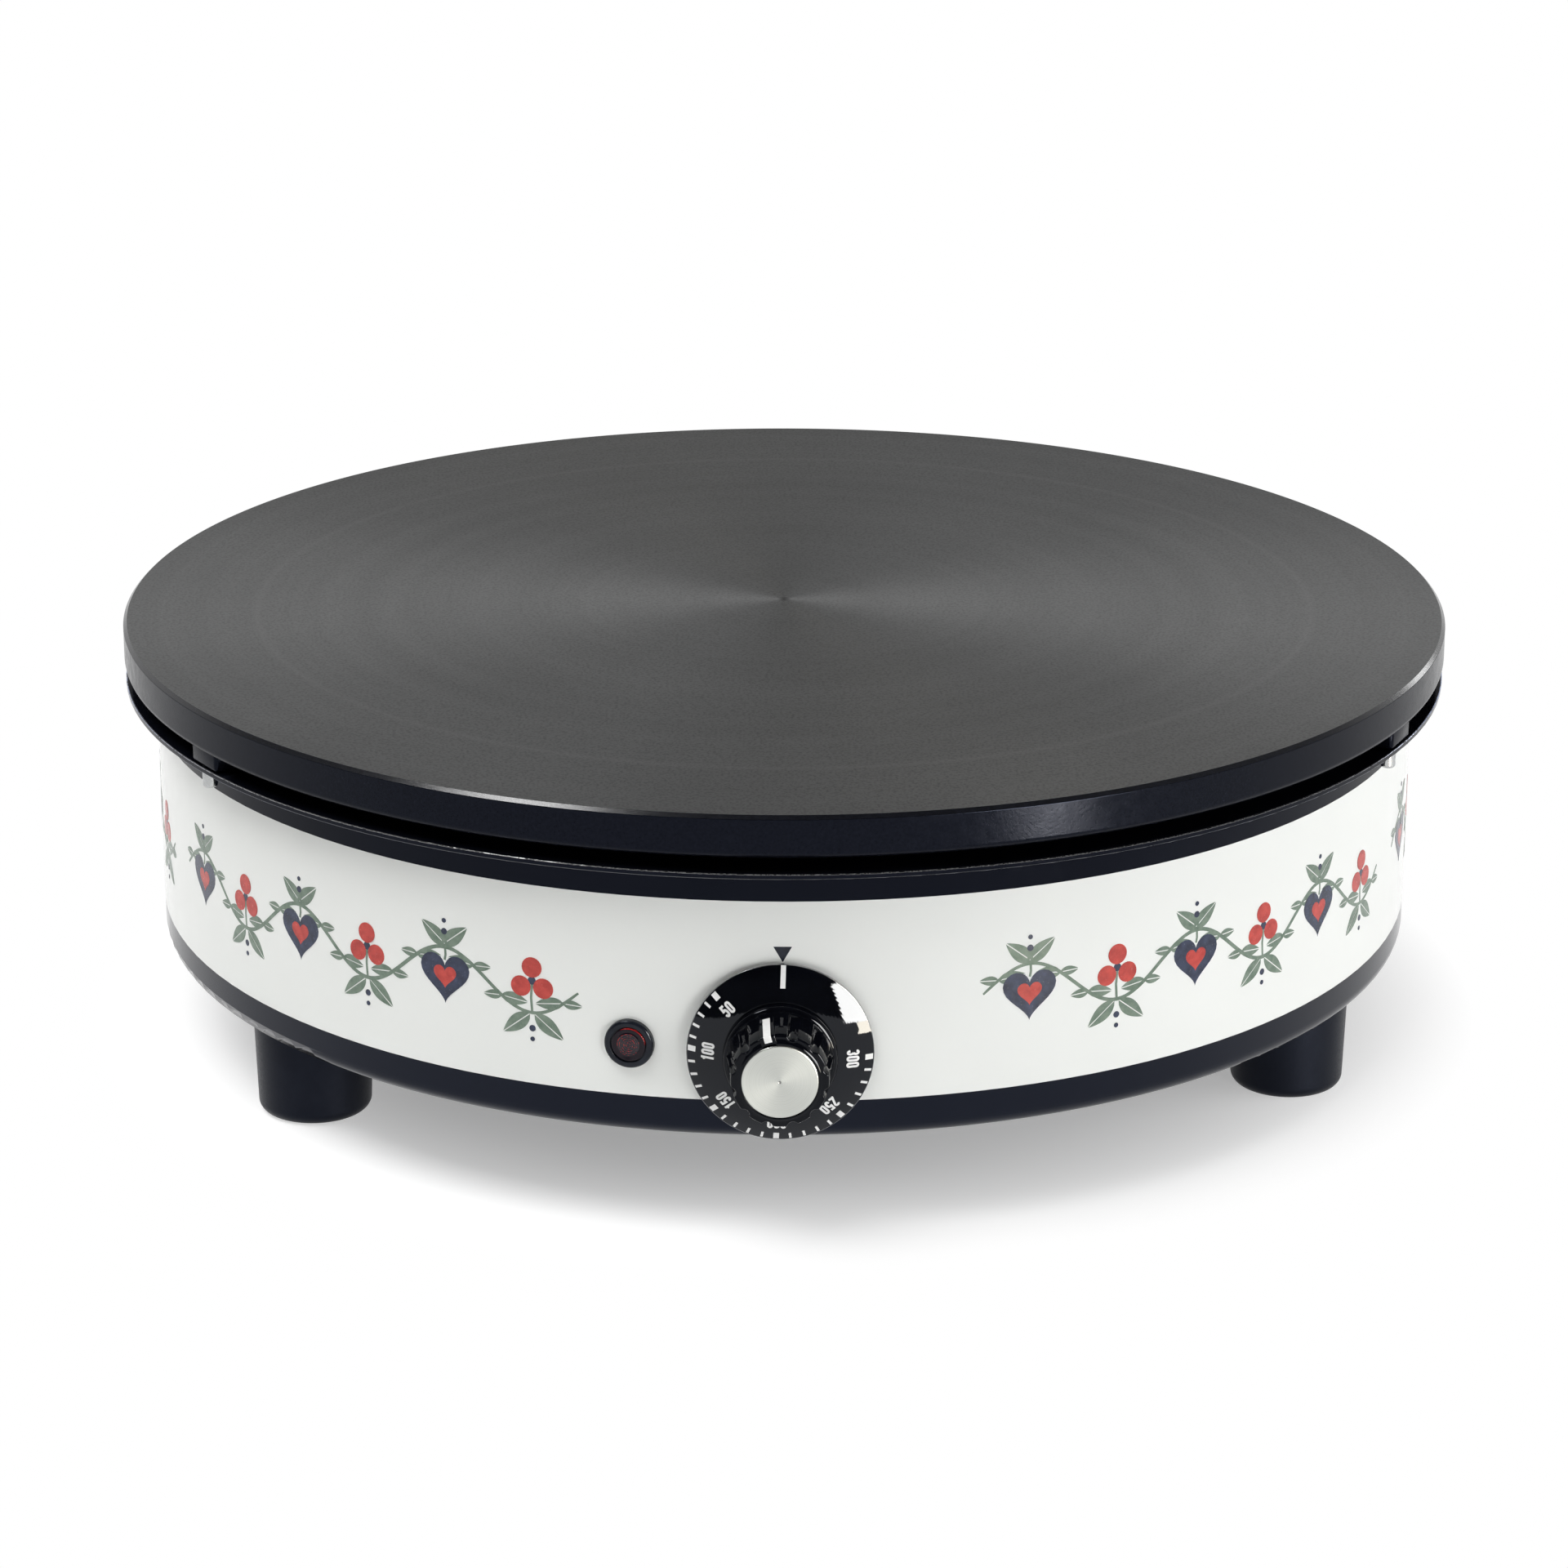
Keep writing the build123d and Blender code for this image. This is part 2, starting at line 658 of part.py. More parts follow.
with BuildPart() as thermostat_body:
    with BuildSketch(drum_plane(0, body_front, control_height)):
        RectangleRounded(body_width, body_height, body_corner_round)
    extrude(amount=-body_depth)
    with BuildSketch(drum_plane(0, body_front, control_height)):
        Circle(shaft_radius + bore_clearance)
    extrude(amount=-shaft_bore_depth, mode=Mode.SUBTRACT)
    # clearance for the ends of the fixing screws
    with BuildSketch(drum_plane(0, body_front, control_height)):
        with Locations(*thermostat_screw_places):
            Circle(m3_radius + 0.3)
    extrude(amount=-screw_well_depth, mode=Mode.SUBTRACT)
write_piece(thermostat_body, "thermostat_body")

low_head_height = 1.3
with BuildPart() as thermostat_screws:
    with BuildSketch(drum_plane(0, drum_radius + thread_clearance, control_height)):
        with Locations(*thermostat_screw_places):
            Circle(m3_head_radius)
    extrude(amount=low_head_height)
    with BuildSketch(drum_plane(0, strap_back - screw_well_depth / 2, control_height)):
        with Locations(*thermostat_screw_places):
            Circle(m3_radius)
    extrude(amount=drum_radius + low_head_height / 2 - strap_back + screw_well_depth / 2)
write_piece(thermostat_screws, "thermostat_screws")

thermostat_tab_places = [(-9, 10), (9, 10), (-9, 1)]
thermostat_tab_length = 8.0
with BuildPart() as thermostat_tabs:
    with BuildSketch(drum_plane(0, body_back - thread_clearance, control_height)):
        with Locations(*thermostat_tab_places):
            Rectangle(tab_width, tab_sheet)
    extrude(amount=-thermostat_tab_length)
write_piece(thermostat_tabs, "thermostat_tabs")

bulb_radius = 3.0
bulb_length = 80.0
bulb_end_round = 1.2
bulb_height = plate_bottom - bulb_radius - part_gap / 2
bulb_y = capillary_drop[1]
with BuildPart() as thermostat_bulb:
    with BuildSketch(Plane.YZ.offset(-bulb_length / 2)):
        with Locations((bulb_y, bulb_height)):
            Circle(bulb_radius)
    extrude(amount=bulb_length)
    fillet(thermostat_bulb.edges().filter_by(GeomType.CIRCLE), radius=bulb_end_round)
write_piece(thermostat_bulb, "thermostat_bulb")

capillary_radius = 0.8
capillary_route = [
    (-bulb_length / 2 - thread_clearance, bulb_y, bulb_height),
    (capillary_drop[0], bulb_y, bulb_height),
    (capillary_drop[0], bulb_y, 62),
    (-22, -64, 54),
    (-14, -112, 50),
    (-12, -(body_back - thread_clearance), 50),
]
with BuildPart() as capillary_tube:
    with BuildLine() as capillary_path:
        FilletPolyline(*capillary_route, radius=arc_radii(capillary_route))
    with BuildSketch(Plane(origin=capillary_route[0], z_dir=(-1, 0, 0))):
        Circle(capillary_radius)
    sweep(path=capillary_path.wire())
write_piece(capillary_tube, "capillary_tube")

clip_x = 34.0
clip_sheet = 1.2
clip_length = 34.0
clip_width = 10.0
clip_screw_reach = 11.0
clip_top = bulb_height - bulb_radius - thread_clearance
clip_screw_places = [(clip_x, bulb_y - clip_screw_reach), (clip_x, bulb_y + clip_screw_reach)]
with BuildPart() as bulb_clip:
    with BuildSketch(Plane.XY.offset(clip_top - clip_sheet)):
        with Locations((clip_x, bulb_y)):
            SlotOverall(clip_length, clip_width, rotation=90)
        with Locations(*clip_screw_places):
            Circle(m3_hole_radius, mode=Mode.SUBTRACT)
    extrude(amount=clip_sheet)
write_piece(bulb_clip, "bulb_clip")

clip_head_height = 2.15
clip_head_bottom = clip_top - clip_sheet - part_gap / 2 - clip_head_height
with BuildPart() as bulb_clip_screws:
    with BuildSketch(Plane.XY.offset(clip_head_bottom)):
        with Locations(*clip_screw_places):
            Circle(m3_head_radius)
    extrude(amount=clip_head_height)
    with BuildSketch(Plane.XY.offset(clip_head_bottom + clip_head_height / 2)):
        with Locations(*clip_screw_places):
            Circle(m3_radius)
    extrude(amount=plate_bottom - part_gap / 2 - clip_head_bottom - clip_head_height / 2)
write_piece(bulb_clip_screws, "bulb_clip_screws")

# ================================================================ dial and knob
disc_plane = drum_plane(0, disc_face, control_height)
shaft_front = 13.5
shaft_chamfer = 0.5
shaft_flat_length = 20.0
flat_offset = 1.6

with BuildPart() as control_shaft:
    with BuildSketch(drum_plane(0, shaft_back, control_height)):
        Circle(shaft_radius)
    extrude(amount=disc_face + shaft_front - shaft_back)
    # flat for the knob's leaf spring
    with BuildSketch(disc_plane):
        with Locations((0, flat_offset + 2)):
            Rectangle(8, 4)
    extrude(amount=shaft_flat_length, mode=Mode.SUBTRACT)
    chamfer(control_shaft.edges().group_by(Axis.Y)[-1], length=shaft_chamfer)
write_piece(control_shaft, "control_shaft")

# the disc is a shallow cone: a flat middle under the knob, and a skirt that slopes back to its rim
with BuildPart() as dial_disc:
    with BuildSketch(Plane.XY.offset(control_height)):
        Polygon(
            (spigot_radius, -disc_face - disc_crown),
            (disc_flat_radius, -disc_face - disc_crown),
            (disc_radius, -disc_face - disc_rim),
            (disc_radius, -disc_face - disc_rim + disc_sheet),
            (disc_flat_radius, -disc_face - disc_crown + disc_sheet),
            (spigot_radius, -disc_face - disc_crown + disc_sheet),
            align=None,
        )
    revolve(axis=Axis((0, 0, control_height), (0, 1, 0)), revolution_arc=360)
    rim_circles = dial_disc.edges().filter_by(GeomType.CIRCLE).group_by(SortBy.RADIUS)[-1]
    fillet(rim_circles, radius=disc_edge_round)
write_piece(dial_disc, "dial_disc")


index_turn = radians(index_azimuth)
index_up = (sin(index_turn), 0, cos(index_turn))
index_plane = Plane(
    origin=(0, -disc_face, control_height),
    x_dir=(0, -1, 0),
    z_dir=(-index_up[2], 0, index_up[0]),
)
index_tab_width = 4.4
index_tab_root = 10.0
index_tab_front = grip_front + 0.3
tab_back_height = 15.2
tab_front_height = 13.6
strip_width = 2.2
strip_depth = 0.6
strip_clearance = 0.03
strip_back = grip_back + 3.2
strip_back_height = tab_back_height - 0.38
strip_front_height = tab_front_height + 0.02
strip_foot_height = 11.7


def strip_outline(drop, lift=0.0):
    """Section of the index strip, or of its slot: along the tab's sloping top and down its front."""
    return [
        (strip_back, strip_back_height + lift),
        (index_tab_front + lift, strip_front_height + lift),
        (index_tab_front + lift, strip_foot_height),
        (index_tab_front - drop, strip_foot_height),
        (index_tab_front - drop, strip_front_height - drop),
        (strip_back, strip_back_height - drop),
    ]


base_start = disc_crown + 0.02
spigot_end = disc_crown - disc_sheet
base_round = 1.6
body_overlap = 0.5
front_ring_width = 1.8
front_ring_taper = 38
front_ring_drop = 0.2
seat_clearance = 0.08

with BuildPart() as knob_grip:
    # base boss on the disc, and the spigot that passes through it
    with BuildSketch(disc_plane.offset(base_start)):
        Circle(knob_base_radius)
    extrude(amount=knob_base_length - base_start)
    fillet(knob_grip.edges().group_by(Axis.Y)[0], radius=base_round)
    with BuildSketch(disc_plane.offset(spigot_end)):
        Circle(spigot_radius - part_gap / 2)
    extrude(amount=knob_base_length - spigot_end)
    # fluted, tapered grip
    for plane_offset, radius in ((grip_back, grip_back_radius), (grip_front, grip_front_radius)):
        with BuildSketch(disc_plane.offset(plane_offset)):
            Circle(radius)
            with PolarLocations(radius + flute_outset, flute_count, start_angle=first_flute):
                Circle(flute_radius, mode=Mode.SUBTRACT)
    loft()
    with BuildSketch(disc_plane.offset(knob_base_length - body_overlap)):
        Circle(grip_back_radius)
    extrude(amount=grip_back - knob_base_length + body_overlap)
    # sloping front ring round the cap
    with BuildSketch(disc_plane.offset(grip_front - part_gap / 2)):
        Circle(grip_front_radius - front_ring_width)
    extrude(amount=cap_front - grip_front - front_ring_drop, taper=front_ring_taper)
    # raised tab that carries the index strip
    with BuildSketch(index_plane):
        Polygon(
            (knob_base_length - body_overlap, index_tab_root),
            (knob_base_length - body_overlap, tab_back_height - 0.6),
            (grip_back - 0.2, tab_back_height),
            (index_tab_front, tab_front_height),
            (index_tab_front, index_tab_root),
            align=None,
        )
    extrude(amount=index_tab_width / 2, both=True)
    with BuildSketch(index_plane):
        Polygon(*strip_outline(strip_depth, lift=cut_margin), align=None)
    extrude(amount=strip_width / 2 + strip_clearance, both=True, mode=Mode.SUBTRACT)
    # seat for the cap, and the bore for the shaft
    with BuildSketch(disc_plane.offset(cap_front - cap_sheet)):
        Circle(cap_radius + seat_clearance)
    extrude(amount=cap_sheet + cut_margin, mode=Mode.SUBTRACT)
    with BuildSketch(disc_plane.offset(spigot_end)):
        Circle(shaft_radius + bore_clearance)
    extrude(amount=shaft_front + 1 - spigot_end, mode=Mode.SUBTRACT)
write_piece(knob_grip, "knob_grip")

with BuildPart() as knob_index:
    with BuildSketch(index_plane):
        Polygon(*strip_outline(strip_depth - 0.05), align=None)
    extrude(amount=strip_width / 2, both=True)
write_piece(knob_index, "knob_index")

with BuildPart() as knob_cap:
    with BuildSketch(disc_plane.offset(cap_front)):
        Circle(cap_radius)
    extrude(amount=-cap_sheet + 0.02)
    fillet(knob_cap.edges().group_by(Axis.Y)[0], radius=cap_edge_round)
write_piece(knob_cap, "knob_cap")

spring_start = 4.0
spring_length = 8.5
spring_width = 3.2
spring_sheet = 0.5
with BuildPart() as knob_spring:
    with BuildSketch(disc_plane.offset(spring_start)):
        with Locations((0, flat_offset + part_gap + spring_sheet / 2)):
            Rectangle(spring_width, spring_sheet)
    extrude(amount=spring_length)
write_piece(knob_spring, "knob_spring")

# ================================================================ pilot lamp
lamp_plane = drum_plane(lamp_azimuth, drum_radius + 0.15, lamp_height)
lamp_bore_radius = 4.0
lamp_bore_end = 11.0
lens_step = 0.68
lens_rise = 0.75
lens_stem_length = 4.0
lamp_nut_flats = 14.0
lamp_nut_start = -1.6
lamp_nut_height = 3.0
lamp_tab_places = [(-2.5, 0), (2.5, 0)]
lamp_tab_sheet = 0.6
lamp_tab_width = 2.8
lamp_tab_length = 7.0

with BuildPart() as lamp_bezel:
    with BuildSketch(lamp_plane):
        Circle(bezel_radius)
    extrude(amount=bezel_height)
    bezel_rim = lamp_bezel.edges().filter_by(GeomType.CIRCLE).group_by(SortBy.DISTANCE)[-1]
    fillet(bezel_rim, radius=bezel_edge_round)
    with BuildSketch(lamp_plane):
        Circle(lamp_barrel_radius - part_gap)
    extrude(amount=-lamp_length)
    with BuildSketch(lamp_plane.offset(bezel_height)):
        Circle(lens_radius + 0.35)
    extrude(amount=-bezel_recess, mode=Mode.SUBTRACT)
    with BuildSketch(lamp_plane.offset(bezel_height)):
        Circle(lamp_bore_radius)
    extrude(amount=-bezel_height - lamp_bore_end, mode=Mode.SUBTRACT)
write_piece(lamp_bezel, "lamp_bezel")

with BuildPart() as lamp_lens:
    with BuildSketch(lamp_plane.offset(bezel_height - lens_step)):
        Circle(lens_radius)
    extrude(amount=lens_rise)
    with BuildSketch(lamp_plane.offset(bezel_height - lens_step)):
        Circle(lens_stem_radius)
    extrude(amount=-lens_stem_length)
write_piece(lamp_lens, "lamp_lens")

with BuildPart() as lamp_nut:
    with BuildSketch(lamp_plane.offset(lamp_nut_start)):
        hexagon(lamp_nut_flats)
        Circle(lamp_barrel_radius - part_gap / 2, mode=Mode.SUBTRACT)
    extrude(amount=-lamp_nut_height)
write_piece(lamp_nut, "lamp_nut")

with BuildPart() as lamp_tabs:
    with BuildSketch(lamp_plane.offset(-lamp_length - thread_clearance)):
        with Locations(*lamp_tab_places):
            Rectangle(lamp_tab_sheet, lamp_tab_width)
    extrude(amount=-lamp_tab_length)
write_piece(lamp_tabs, "lamp_tabs")

# ================================================================ cable gland
gland_plane = drum_plane(180, drum_radius + 0.05, control_height)
seal_radius = 13.0
seal_height = 1.4
gland_flange_height = 5.0
gland_inner_length = 14.0
neck_start = seal_height + 1.0
neck_length = 15.0
insert_seat = seal_height + 2.0
locknut_start = -1.6
locknut_height = 4.5

with BuildPart() as gland_seal:
    with BuildSketch(gland_plane):
        Circle(seal_radius)
        Circle(gland_thread_radius + 0.15, mode=Mode.SUBTRACT)
    extrude(amount=seal_height)
write_piece(gland_seal, "gland_seal")

with BuildPart() as gland_body:
    with BuildSketch(gland_plane.offset(seal_height + 0.03)):
        hexagon(gland_hex_flats)
    extrude(amount=gland_flange_height)
    with BuildSketch(gland_plane.offset(neck_start)):
        Circle(gland_thread_radius)
    extrude(amount=-gland_inner_length)
    with BuildSketch(gland_plane.offset(neck_start)):
        Circle(gland_neck_radius - part_gap / 2)
    extrude(amount=neck_length)
    with BuildSketch(gland_plane.offset(insert_seat)):
        Circle(insert_radius + bore_clearance)
    extrude(amount=neck_length, mode=Mode.SUBTRACT)
    with BuildSketch(gland_plane.offset(neck_start - gland_inner_length)):
        Circle(gland_bore_radius)
    extrude(amount=gland_inner_length + neck_length, mode=Mode.SUBTRACT)
write_piece(gland_body, "gland_body")

insert_start = insert_seat + 0.05
insert_length = 16.5
with BuildPart() as gland_insert:
    with BuildSketch(gland_plane.offset(insert_start)):
        Circle(insert_radius)
        Circle(cord_hole_radius, mode=Mode.SUBTRACT)
    extrude(amount=insert_length)
write_piece(gland_insert, "gland_insert")

dome_start = seal_height + gland_flange_height + 0.2
dome_hex_height = 9.0
dome_taper_radius = 10.6
dome_taper = 14
dome_end_round = 2.0
dome_height = gland_end - drum_radius - 0.05 - dome_start
with BuildPart() as gland_dome:
    with BuildSketch(gland_plane.offset(dome_start)):
        hexagon(dome_hex_flats)
    extrude(amount=dome_hex_height)
    with BuildSketch(gland_plane.offset(dome_start + dome_hex_height)):
        Circle(dome_taper_radius)
    extrude(amount=dome_height - dome_hex_height, taper=dome_taper)
    fillet(gland_dome.edges().group_by(Axis.Y)[-1], radius=dome_end_round)
    with BuildSketch(gland_plane.offset(dome_start)):
        Circle(gland_neck_radius)
    extrude(amount=neck_start + neck_length - dome_start + part_gap, mode=Mode.SUBTRACT)
    with BuildSketch(gland_plane.offset(dome_start)):
        Circle(insert_radius + bore_clearance)
    extrude(amount=insert_start + insert_length - dome_start + part_gap, mode=Mode.SUBTRACT)
    with BuildSketch(gland_plane.offset(dome_start)):
        Circle(gland_mouth_radius)
    extrude(amount=dome_height, mode=Mode.SUBTRACT)
write_piece(gland_dome, "gland_dome")

with BuildPart() as gland_locknut:
    with BuildSketch(gland_plane.offset(locknut_start)):
        hexagon(locknut_flats)
        Circle(gland_thread_radius + thread_clearance, mode=Mode.SUBTRACT)
    extrude(amount=-locknut_height)
write_piece(gland_locknut, "gland_locknut")

# ================================================================ terminal block and earth stud
block_length = 36.0
block_width = 24.0
block_height = 15.0
block_bottom = pan_bottom + pan_sheet + thread_clearance
block_corner_round = 1.5
block_screw_head = 2.0
block_screw_depth = 8.0
pole_count = 3
pole_radius = 2.1
pole_height = 3.2
pole_slot_width = 0.7
pole_slot_depth = 0.6
screw_well_radius = 2.3
block_well_depth = 6.0
wire_hole_radius = 2.0
wire_hole_rise = 5.0
pole_bottom = block_bottom + block_height - block_well_depth + 0.2

with BuildPart() as terminal_block:
    with BuildSketch(Plane.XY.offset(block_bottom)):
        with Locations(block_place):
            Rectangle(block_length, block_width)
    extrude(amount=block_height)
    fillet(terminal_block.edges().filter_by(Axis.Z), radius=block_corner_round)
    # wire holes through the block, and screw wells from its top
    with BuildSketch(Plane.XZ.offset(-block_place[1] - block_width / 2)):
        with Locations((block_place[0], block_bottom + wire_hole_rise)):
            with GridLocations(pole_pitch, 1, pole_count, 1):
                Circle(wire_hole_radius)
    extrude(amount=block_width, mode=Mode.SUBTRACT)
    with BuildSketch(Plane.XY.offset(block_bottom + block_height)):
        with Locations(block_place):
            with GridLocations(pole_pitch, 1, pole_count, 1):
                Circle(screw_well_radius)
    extrude(amount=-block_well_depth, mode=Mode.SUBTRACT)
    with BuildSketch(Plane.XY.offset(block_bottom)):
        with Locations(*block_fixings):
            Circle(m3_radius + thread_clearance)
    extrude(amount=block_height, mode=Mode.SUBTRACT)
write_piece(terminal_block, "terminal_block")

with BuildPart() as block_screws:
    with BuildSketch(Plane.XY.offset(pan_bottom - part_gap / 2)):
        with Locations(*block_fixings):
            Circle(m3_head_radius)
    extrude(amount=-block_screw_head)
    with BuildSketch(Plane.XY.offset(pan_bottom - block_screw_head / 2)):
        with Locations(*block_fixings):
            Circle(m3_radius)
    extrude(amount=block_screw_head / 2 + pan_sheet + block_screw_depth)
write_piece(block_screws, "block_screws")

with BuildPart() as block_poles:
    with BuildSketch(Plane.XY.offset(pole_bottom)):
        with Locations(block_place):
            with GridLocations(pole_pitch, 1, pole_count, 1):
                Circle(pole_radius)
    extrude(amount=pole_height)
    with BuildSketch(Plane.XY.offset(pole_bottom + pole_height)):
        with Locations(block_place):
            with GridLocations(pole_pitch, 1, pole_count, 1):
                Rectangle(2 * pole_radius - 0.6, pole_slot_width)
    extrude(amount=-pole_slot_depth, mode=Mode.SUBTRACT)
write_piece(block_poles, "block_poles")

earth_head_radius = 3.8
earth_head_height = 2.35
earth_nut_height = 3.2
earth_nut_gap = 1.6  # room for the lead's eye between the pan and the nut
earth_stud_length = 13.0
with BuildPart() as earth_stud:
    with BuildSketch(Plane.XY.offset(pan_bottom - part_gap / 2)):
        with Locations(earth_stud_place):
            Circle(earth_head_radius)
    extrude(amount=-earth_head_height)
    with BuildSketch(Plane.XY.offset(pan_bottom - earth_head_height / 2)):
        with Locations(earth_stud_place):
            Circle(m4_radius)
    extrude(amount=earth_head_height / 2 + earth_stud_length)
write_piece(earth_stud, "earth_stud")

with BuildPart() as earth_nut:
    with BuildSketch(Plane.XY.offset(pan_bottom + pan_sheet + earth_nut_gap)):
        with Locations(earth_stud_place):
            hexagon(m4_nut_flats)
            Circle(m4_radius + thread_clearance, mode=Mode.SUBTRACT)
    extrude(amount=earth_nut_height)
write_piece(earth_nut, "earth_nut")

# ================================================================ internal leads
# the routes' bends are free choices that keep the leads clear of the other pieces
lead_radius = 1.4
lamp_lead_radius = 1.0
lamp_lead_spacing = 1.6
wire_reach = 6.0
block_face = block_place[1] - block_width / 2
wire_height = block_bottom + wire_hole_rise
tab_end_y = -(body_back - thermostat_tab_length - part_gap)
switched_x, live_x, lamp_x = [x for x, _ in thermostat_tab_places]
main_tab_height = control_height + thermostat_tab_places[0][1]
lamp_tab_height = control_height + thermostat_tab_places[2][1]
cold_tab_bottom = cold_end_bottom - bead_height - tab_length - part_gap
lamp_tab_end = -lamp_length - lamp_tab_length - part_gap
lamp_neutral, lamp_live = [lamp_plane.from_local_coords(Vector(x, 0, lamp_tab_end)) for x, _ in lamp_tab_places]


def lead(label, route, radius=lead_radius):
    """An insulated lead along straight runs joined by tangent arcs."""
    start = Vector(route[0])
    direction = Vector(route[1]) - start
    with BuildPart() as wire:
        with BuildLine() as wire_path:
            FilletPolyline(*route, radius=arc_radii(route))
        with BuildSketch(Plane(origin=start, z_dir=direction)):
            Circle(radius)
        sweep(path=wire_path.wire())
    length = wire_path.wire().length
    section = pi * radius**2
    print(f"{label}: length {length:.0f} mm, volume over section {wire.part.volume / section:.0f} mm")
    write_piece(wire, label)


lead(
    "lead_live",
    [
        (pole_pitch, block_face + wire_reach, wire_height),
        (pole_pitch + 2, block_face - 20, wire_height),
        (pole_pitch + 14, 55, wire_height + 6),
        (pole_pitch + 20, -10, wire_height + 8),
        (pole_pitch + 14, -80, wire_height + 16),
        (live_x, -120, main_tab_height),
        (live_x, tab_end_y, main_tab_height),
    ],
)
lead(
    "lead_switched",
    [
        (switched_x, tab_end_y, main_tab_height),
        (switched_x, -136, main_tab_height),
        (-26, -122, main_tab_height - 14),
        (outer_end[0] + 8, outer_end[1] + 6, cold_tab_bottom - 9),
        (outer_end[0], outer_end[1], cold_tab_bottom - 7),
        (outer_end[0], outer_end[1], cold_tab_bottom),
    ],
)
lead(
    "lead_neutral",
    [
        (0, block_face + wire_reach, wire_height),
        (-2, block_face - 22, wire_height),
        (-20, 50, wire_height + 4),
        (-24, -10, wire_height + 2),
        (inner_end[0] + 5, inner_end[1] + 22, wire_height),
        (inner_end[0] + lamp_lead_spacing, inner_end[1], wire_height),
        (inner_end[0] + lamp_lead_spacing, inner_end[1], cold_tab_bottom),
    ],
)
lead(
    "lead_earth",
    [
        (-pole_pitch, block_face + wire_reach, wire_height),
        (-pole_pitch, block_face - 16, wire_height),
        (4, block_face - 34, wire_height + 8),
        (36, earth_stud_place[1] - 12, wire_height + 8),
        (earth_stud_place[0] - 12, earth_stud_place[1] - 4, wire_height + 4),
        (earth_stud_place[0] - 4.2, earth_stud_place[1] - 1, wire_height + 2),
    ],
)
lead(
    "lead_lamp_live",
    [
        tuple(lamp_live),
        (lamp_live.X + 2, lamp_live.Y + 10, lamp_tab_height),
        (-20, tab_end_y + 13, lamp_tab_height),
        (lamp_x, tab_end_y + 10, lamp_tab_height),
        (lamp_x, tab_end_y, lamp_tab_height),
    ],
    radius=lamp_lead_radius,
)
lead(
    "lead_lamp_neutral",
    [
        tuple(lamp_neutral),
        (lamp_neutral.X + 3, lamp_neutral.Y + 14, control_height - 2),
        (-44, -120, 46),
        (inner_end[0] - 4, inner_end[1] - 18, wire_height + 2),
        (inner_end[0] - lamp_lead_spacing, inner_end[1], wire_height),
        (inner_end[0] - lamp_lead_spacing, inner_end[1], cold_tab_bottom),
    ],
    radius=lamp_lead_radius,
)
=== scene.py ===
import json
import math
import random

import bmesh
import bpy
from mathutils import Matrix, Vector
from mathutils.geometry import tessellate_polygon


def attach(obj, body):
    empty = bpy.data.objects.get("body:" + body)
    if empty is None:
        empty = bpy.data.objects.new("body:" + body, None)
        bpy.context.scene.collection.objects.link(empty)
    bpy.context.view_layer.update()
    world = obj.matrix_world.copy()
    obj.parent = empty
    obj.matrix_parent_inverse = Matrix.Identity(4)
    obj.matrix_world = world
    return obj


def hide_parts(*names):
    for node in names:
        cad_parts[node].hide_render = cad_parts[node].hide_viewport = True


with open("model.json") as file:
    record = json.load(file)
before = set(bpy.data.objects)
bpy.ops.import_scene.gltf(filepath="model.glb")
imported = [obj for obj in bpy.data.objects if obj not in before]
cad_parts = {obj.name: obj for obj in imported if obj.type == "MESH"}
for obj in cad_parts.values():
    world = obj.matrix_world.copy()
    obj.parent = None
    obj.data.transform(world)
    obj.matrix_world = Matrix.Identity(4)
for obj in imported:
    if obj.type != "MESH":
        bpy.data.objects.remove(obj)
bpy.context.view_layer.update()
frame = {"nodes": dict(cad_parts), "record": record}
record = frame["record"]
chance = random.Random(7)

MM = 0.001
TAU = 2 * math.pi
BLUE_BLACK = (0.60, 0.69, 1.0, 1.0)  # tint of the gloss on the black metal and rubber
COOL_GLOSS = (0.88, 0.92, 1.0, 1.0)  # tint of the gloss on the black plastic

# ---------------- sizes in millimetres, azimuths in degrees
PLATE_RADIUS = 200.0
PLATE_TOP = 128.0
PLATE_BOTTOM = 115.5
PLATE_CHAMFER = 1.1
PLATE_LOWER_ROUND = 2.3
BOSS_RADIUS = 18.0
BOSS_BOTTOM = 107.6
LEG_AZIMUTHS = (-56.0, 64.0, 184.0)
LEG_INNER = 189.3
LEG_OUTER = 199.3
LEG_WIDTH = 14.6
LEG_BOTTOM = 111.3
LEG_TOP = 117.8
LEG_CORNER = 1.2

RIM_RADIUS = 199.7
RIM_TOP = 111.2
RIM_BOTTOM = 109.7
DRUM_RADIUS = 190.6
CONTROL_HEIGHT = 57.0

DISC_FACE = 192.4
DISC_RADIUS = 25.8
DISC_RIM = 0.6
DISC_CROWN = 4.5
DISC_FLAT = 16.2
DISC_SHEET = 1.3
DISC_ROUND = 0.3
DISC_SWELL = 0.42  # how far the middle of the flank stands out of a straight cone
SPIGOT_RADIUS = 9.0
KNOB_BASE_RADIUS = 15.8
KNOB_BASE_FRONT = 7.3
KNOB_BASE_ROUND = 1.6
GRIP_BACK = 8.6
GRIP_FRONT = 21.7
GRIP_BACK_RADIUS = 14.8
GRIP_FRONT_RADIUS = 13.3
GRIP_ROUND = 0.45
FLUTES = 12
FLUTE_RADIUS = 1.75
FLUTE_OUTSET = 0.79
FLUTE_BLEND = 0.32
RING_FRONT = 22.0
RING_OUTER = 11.5
RING_INNER = 11.2
CAP_RADIUS = 10.5
CAP_FRONT = 22.2
CAP_BACK = 21.02
CAP_ROUND = 0.35
SHAFT_BORE = 3.05
INDEX_AZIMUTH = -15.0

